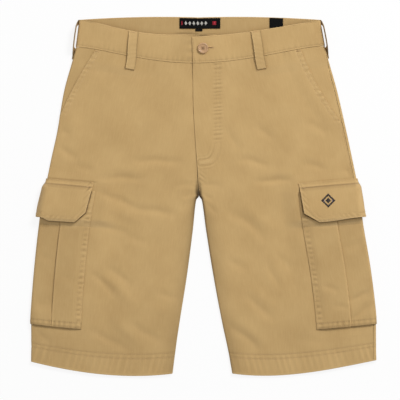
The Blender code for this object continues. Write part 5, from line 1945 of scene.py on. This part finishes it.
worked = []
for x in np.arange(SLIT_START, SLIT_END, SLIT_PITCH):
    for hand in (-1, 1):
        worked.append((
            on_left_band(x, BUTTON_DOWN + hand * SLIT_NEAR, 0.02),
            on_left_band(x + 0.15, BUTTON_DOWN + hand * SLIT_FAR, 0.0), UPRIGHT,
        ))
for index in range(7):
    down = BUTTON_DOWN - 1.5 + index * SLIT_PITCH
    worked.append((
        on_left_band(SLIT_END - 0.4, down, 0.05), on_left_band(SLIT_END + 1.1, down, 0.0), UPRIGHT,
    ))
thread_mesh("buttonhole_stitches", worked, thread, width=0.6)
# A dark thread along the slit stands for the shade in the opening.
slit_shade = [(on_left_band(SLIT_START, BUTTON_DOWN, 0.12), on_left_band(SLIT_END, BUTTON_DOWN, 0.12),
         UPRIGHT)]
thread_mesh("buttonhole_slit_shade", slit_shade, dark_thread, width=1.0)

# ---------------------------------------------------------------- labels
# Inside the back band: a black woven label with a row of six pale lozenges between two red
# bars, a small plain tab under it, and a folded black care tab that runs down under the front.

# Damask-woven polyester: dense, nearly matt and almost black, with a fine crosswise rib. The
# real rib is 0.2 mm, too fine to show, so it is drawn 0.8 mm wide.
LABEL_RIB = 0.0008
woven_black, tree, shader = blank("black damask label", {
    "Roughness": 0.6, "Specular IOR Level": 0.08,
})
flat = add(tree, "ShaderNodeUVMap", {}, uv_map="cloth").outputs["UV"]
turned = add(tree, "ShaderNodeMapping", {
    "Vector": flat, "Rotation": (0.0, 0.0, math.radians(90.0)),
}).outputs["Vector"]
rib = add(tree, "ShaderNodeTexWave", {
    "Vector": turned, "Scale": BAND_PERIOD / LABEL_RIB, "Distortion": 0.3,
}).outputs["Fac"]
tree.links.new(blend(tree, rib, "060606", "0E0E0E"), shader.inputs["Base Color"])
tree.links.new(add(tree, "ShaderNodeBump", {
    "Height": rib, "Strength": 0.3, "Distance": 0.0002,
}).outputs["Normal"], shader.inputs["Normal"])

WAIST_LABEL = (-32.2, 35.0, 1.6, 18.2)
SIZE_TAB = (-6.2, 5.6, 18.5, 22.2)
CARE_TAB = (116.3, 138.6, 0.8, 25.0)
LABEL = 1.0                     # its wall


def label_cloth(name, edges, count, rows):
    """A label on the inner face of the back band, from its edges off the centre and the top."""
    start, end, top, bottom = edges

    def spot(column, level, skin):
        off = mix(start, end, column / (count - 1))
        edge = min(off - start, end - off, level - top, bottom - level)
        curl = 0.25 * fade(max(edge, 0.0), 2.5)
        half = LABEL / 2 * rounded(edge) * 0.8
        lift = -(BAND / 2 + SEAM + LABEL / 2) - curl - skin * half
        return *back_place(off, TOP + level, lift), 0.0

    levels = [mix(top, bottom, row / rows) for row in range(rows + 1)]
    piece = cloth(name, count, levels, spot, woven_black)
    return piece


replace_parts(label_cloth("waist_label_woven", WAIST_LABEL, 46, 14), "waist_label")
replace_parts(label_cloth("size_tab_woven", SIZE_TAB, 12, 5), "size_tab")
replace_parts(label_cloth("care_tab_woven", CARE_TAB, 18, 18), "care_tab")

# Polyester yarns that float on the label's face: even, matt, and bright against the black.
white_yarn = plain("off-white label yarn", "D8D4CC", {"Roughness": 0.6})
red_yarn = plain("dark red label yarn", "A81E30", {"Roughness": 0.6})


def label_thread(x0, level0, x1, level1):
    """One thread that floats on the label's face."""
    lift = -(BAND / 2 + SEAM + LABEL) - 0.16
    ends = [back_place(x, TOP + level, lift) for x, level in ((x0, level0), (x1, level1))]
    return *laid(ends), UPRIGHT


# A row of lozenges along the label, and a red bar at each end, woven in threads
MOTIF_LEVEL, MOTIF_ROW = 9.6, 0.5           # from the label's upper edge, and its rows' spacing
LOZENGE_START, LOZENGE_LAST, LOZENGE_PITCH = -22.0, 17.0, 6.6
LOZENGE_WIDE, LOZENGE_HIGH, LOZENGE_SLOPE = 2.7, 3.2, 0.78      # halves
BARS, BAR_HIGH = ((-28.4, 1.1), (25.0, 3.4)), 2.8               # middles and halves

lozenges = []
for middle in np.arange(LOZENGE_START, LOZENGE_LAST, LOZENGE_PITCH):
    for step in np.arange(-LOZENGE_HIGH, LOZENGE_HIGH + 0.1, MOTIF_ROW):
        level = MOTIF_LEVEL + step
        reach = LOZENGE_WIDE - abs(step) * LOZENGE_SLOPE
        lozenges.append(label_thread(middle - reach, level, middle + reach, level))
thread_mesh("waist_label_lozenges", lozenges, white_yarn, width=0.5)
red_bars = []
for middle, half in BARS:
    for level in MOTIF_LEVEL + np.arange(-BAR_HIGH, BAR_HIGH + 0.1, MOTIF_ROW):
        red_bars.append(label_thread(middle - half, level, middle + half, level))
thread_mesh("waist_label_bars", red_bars, red_yarn, width=0.6)
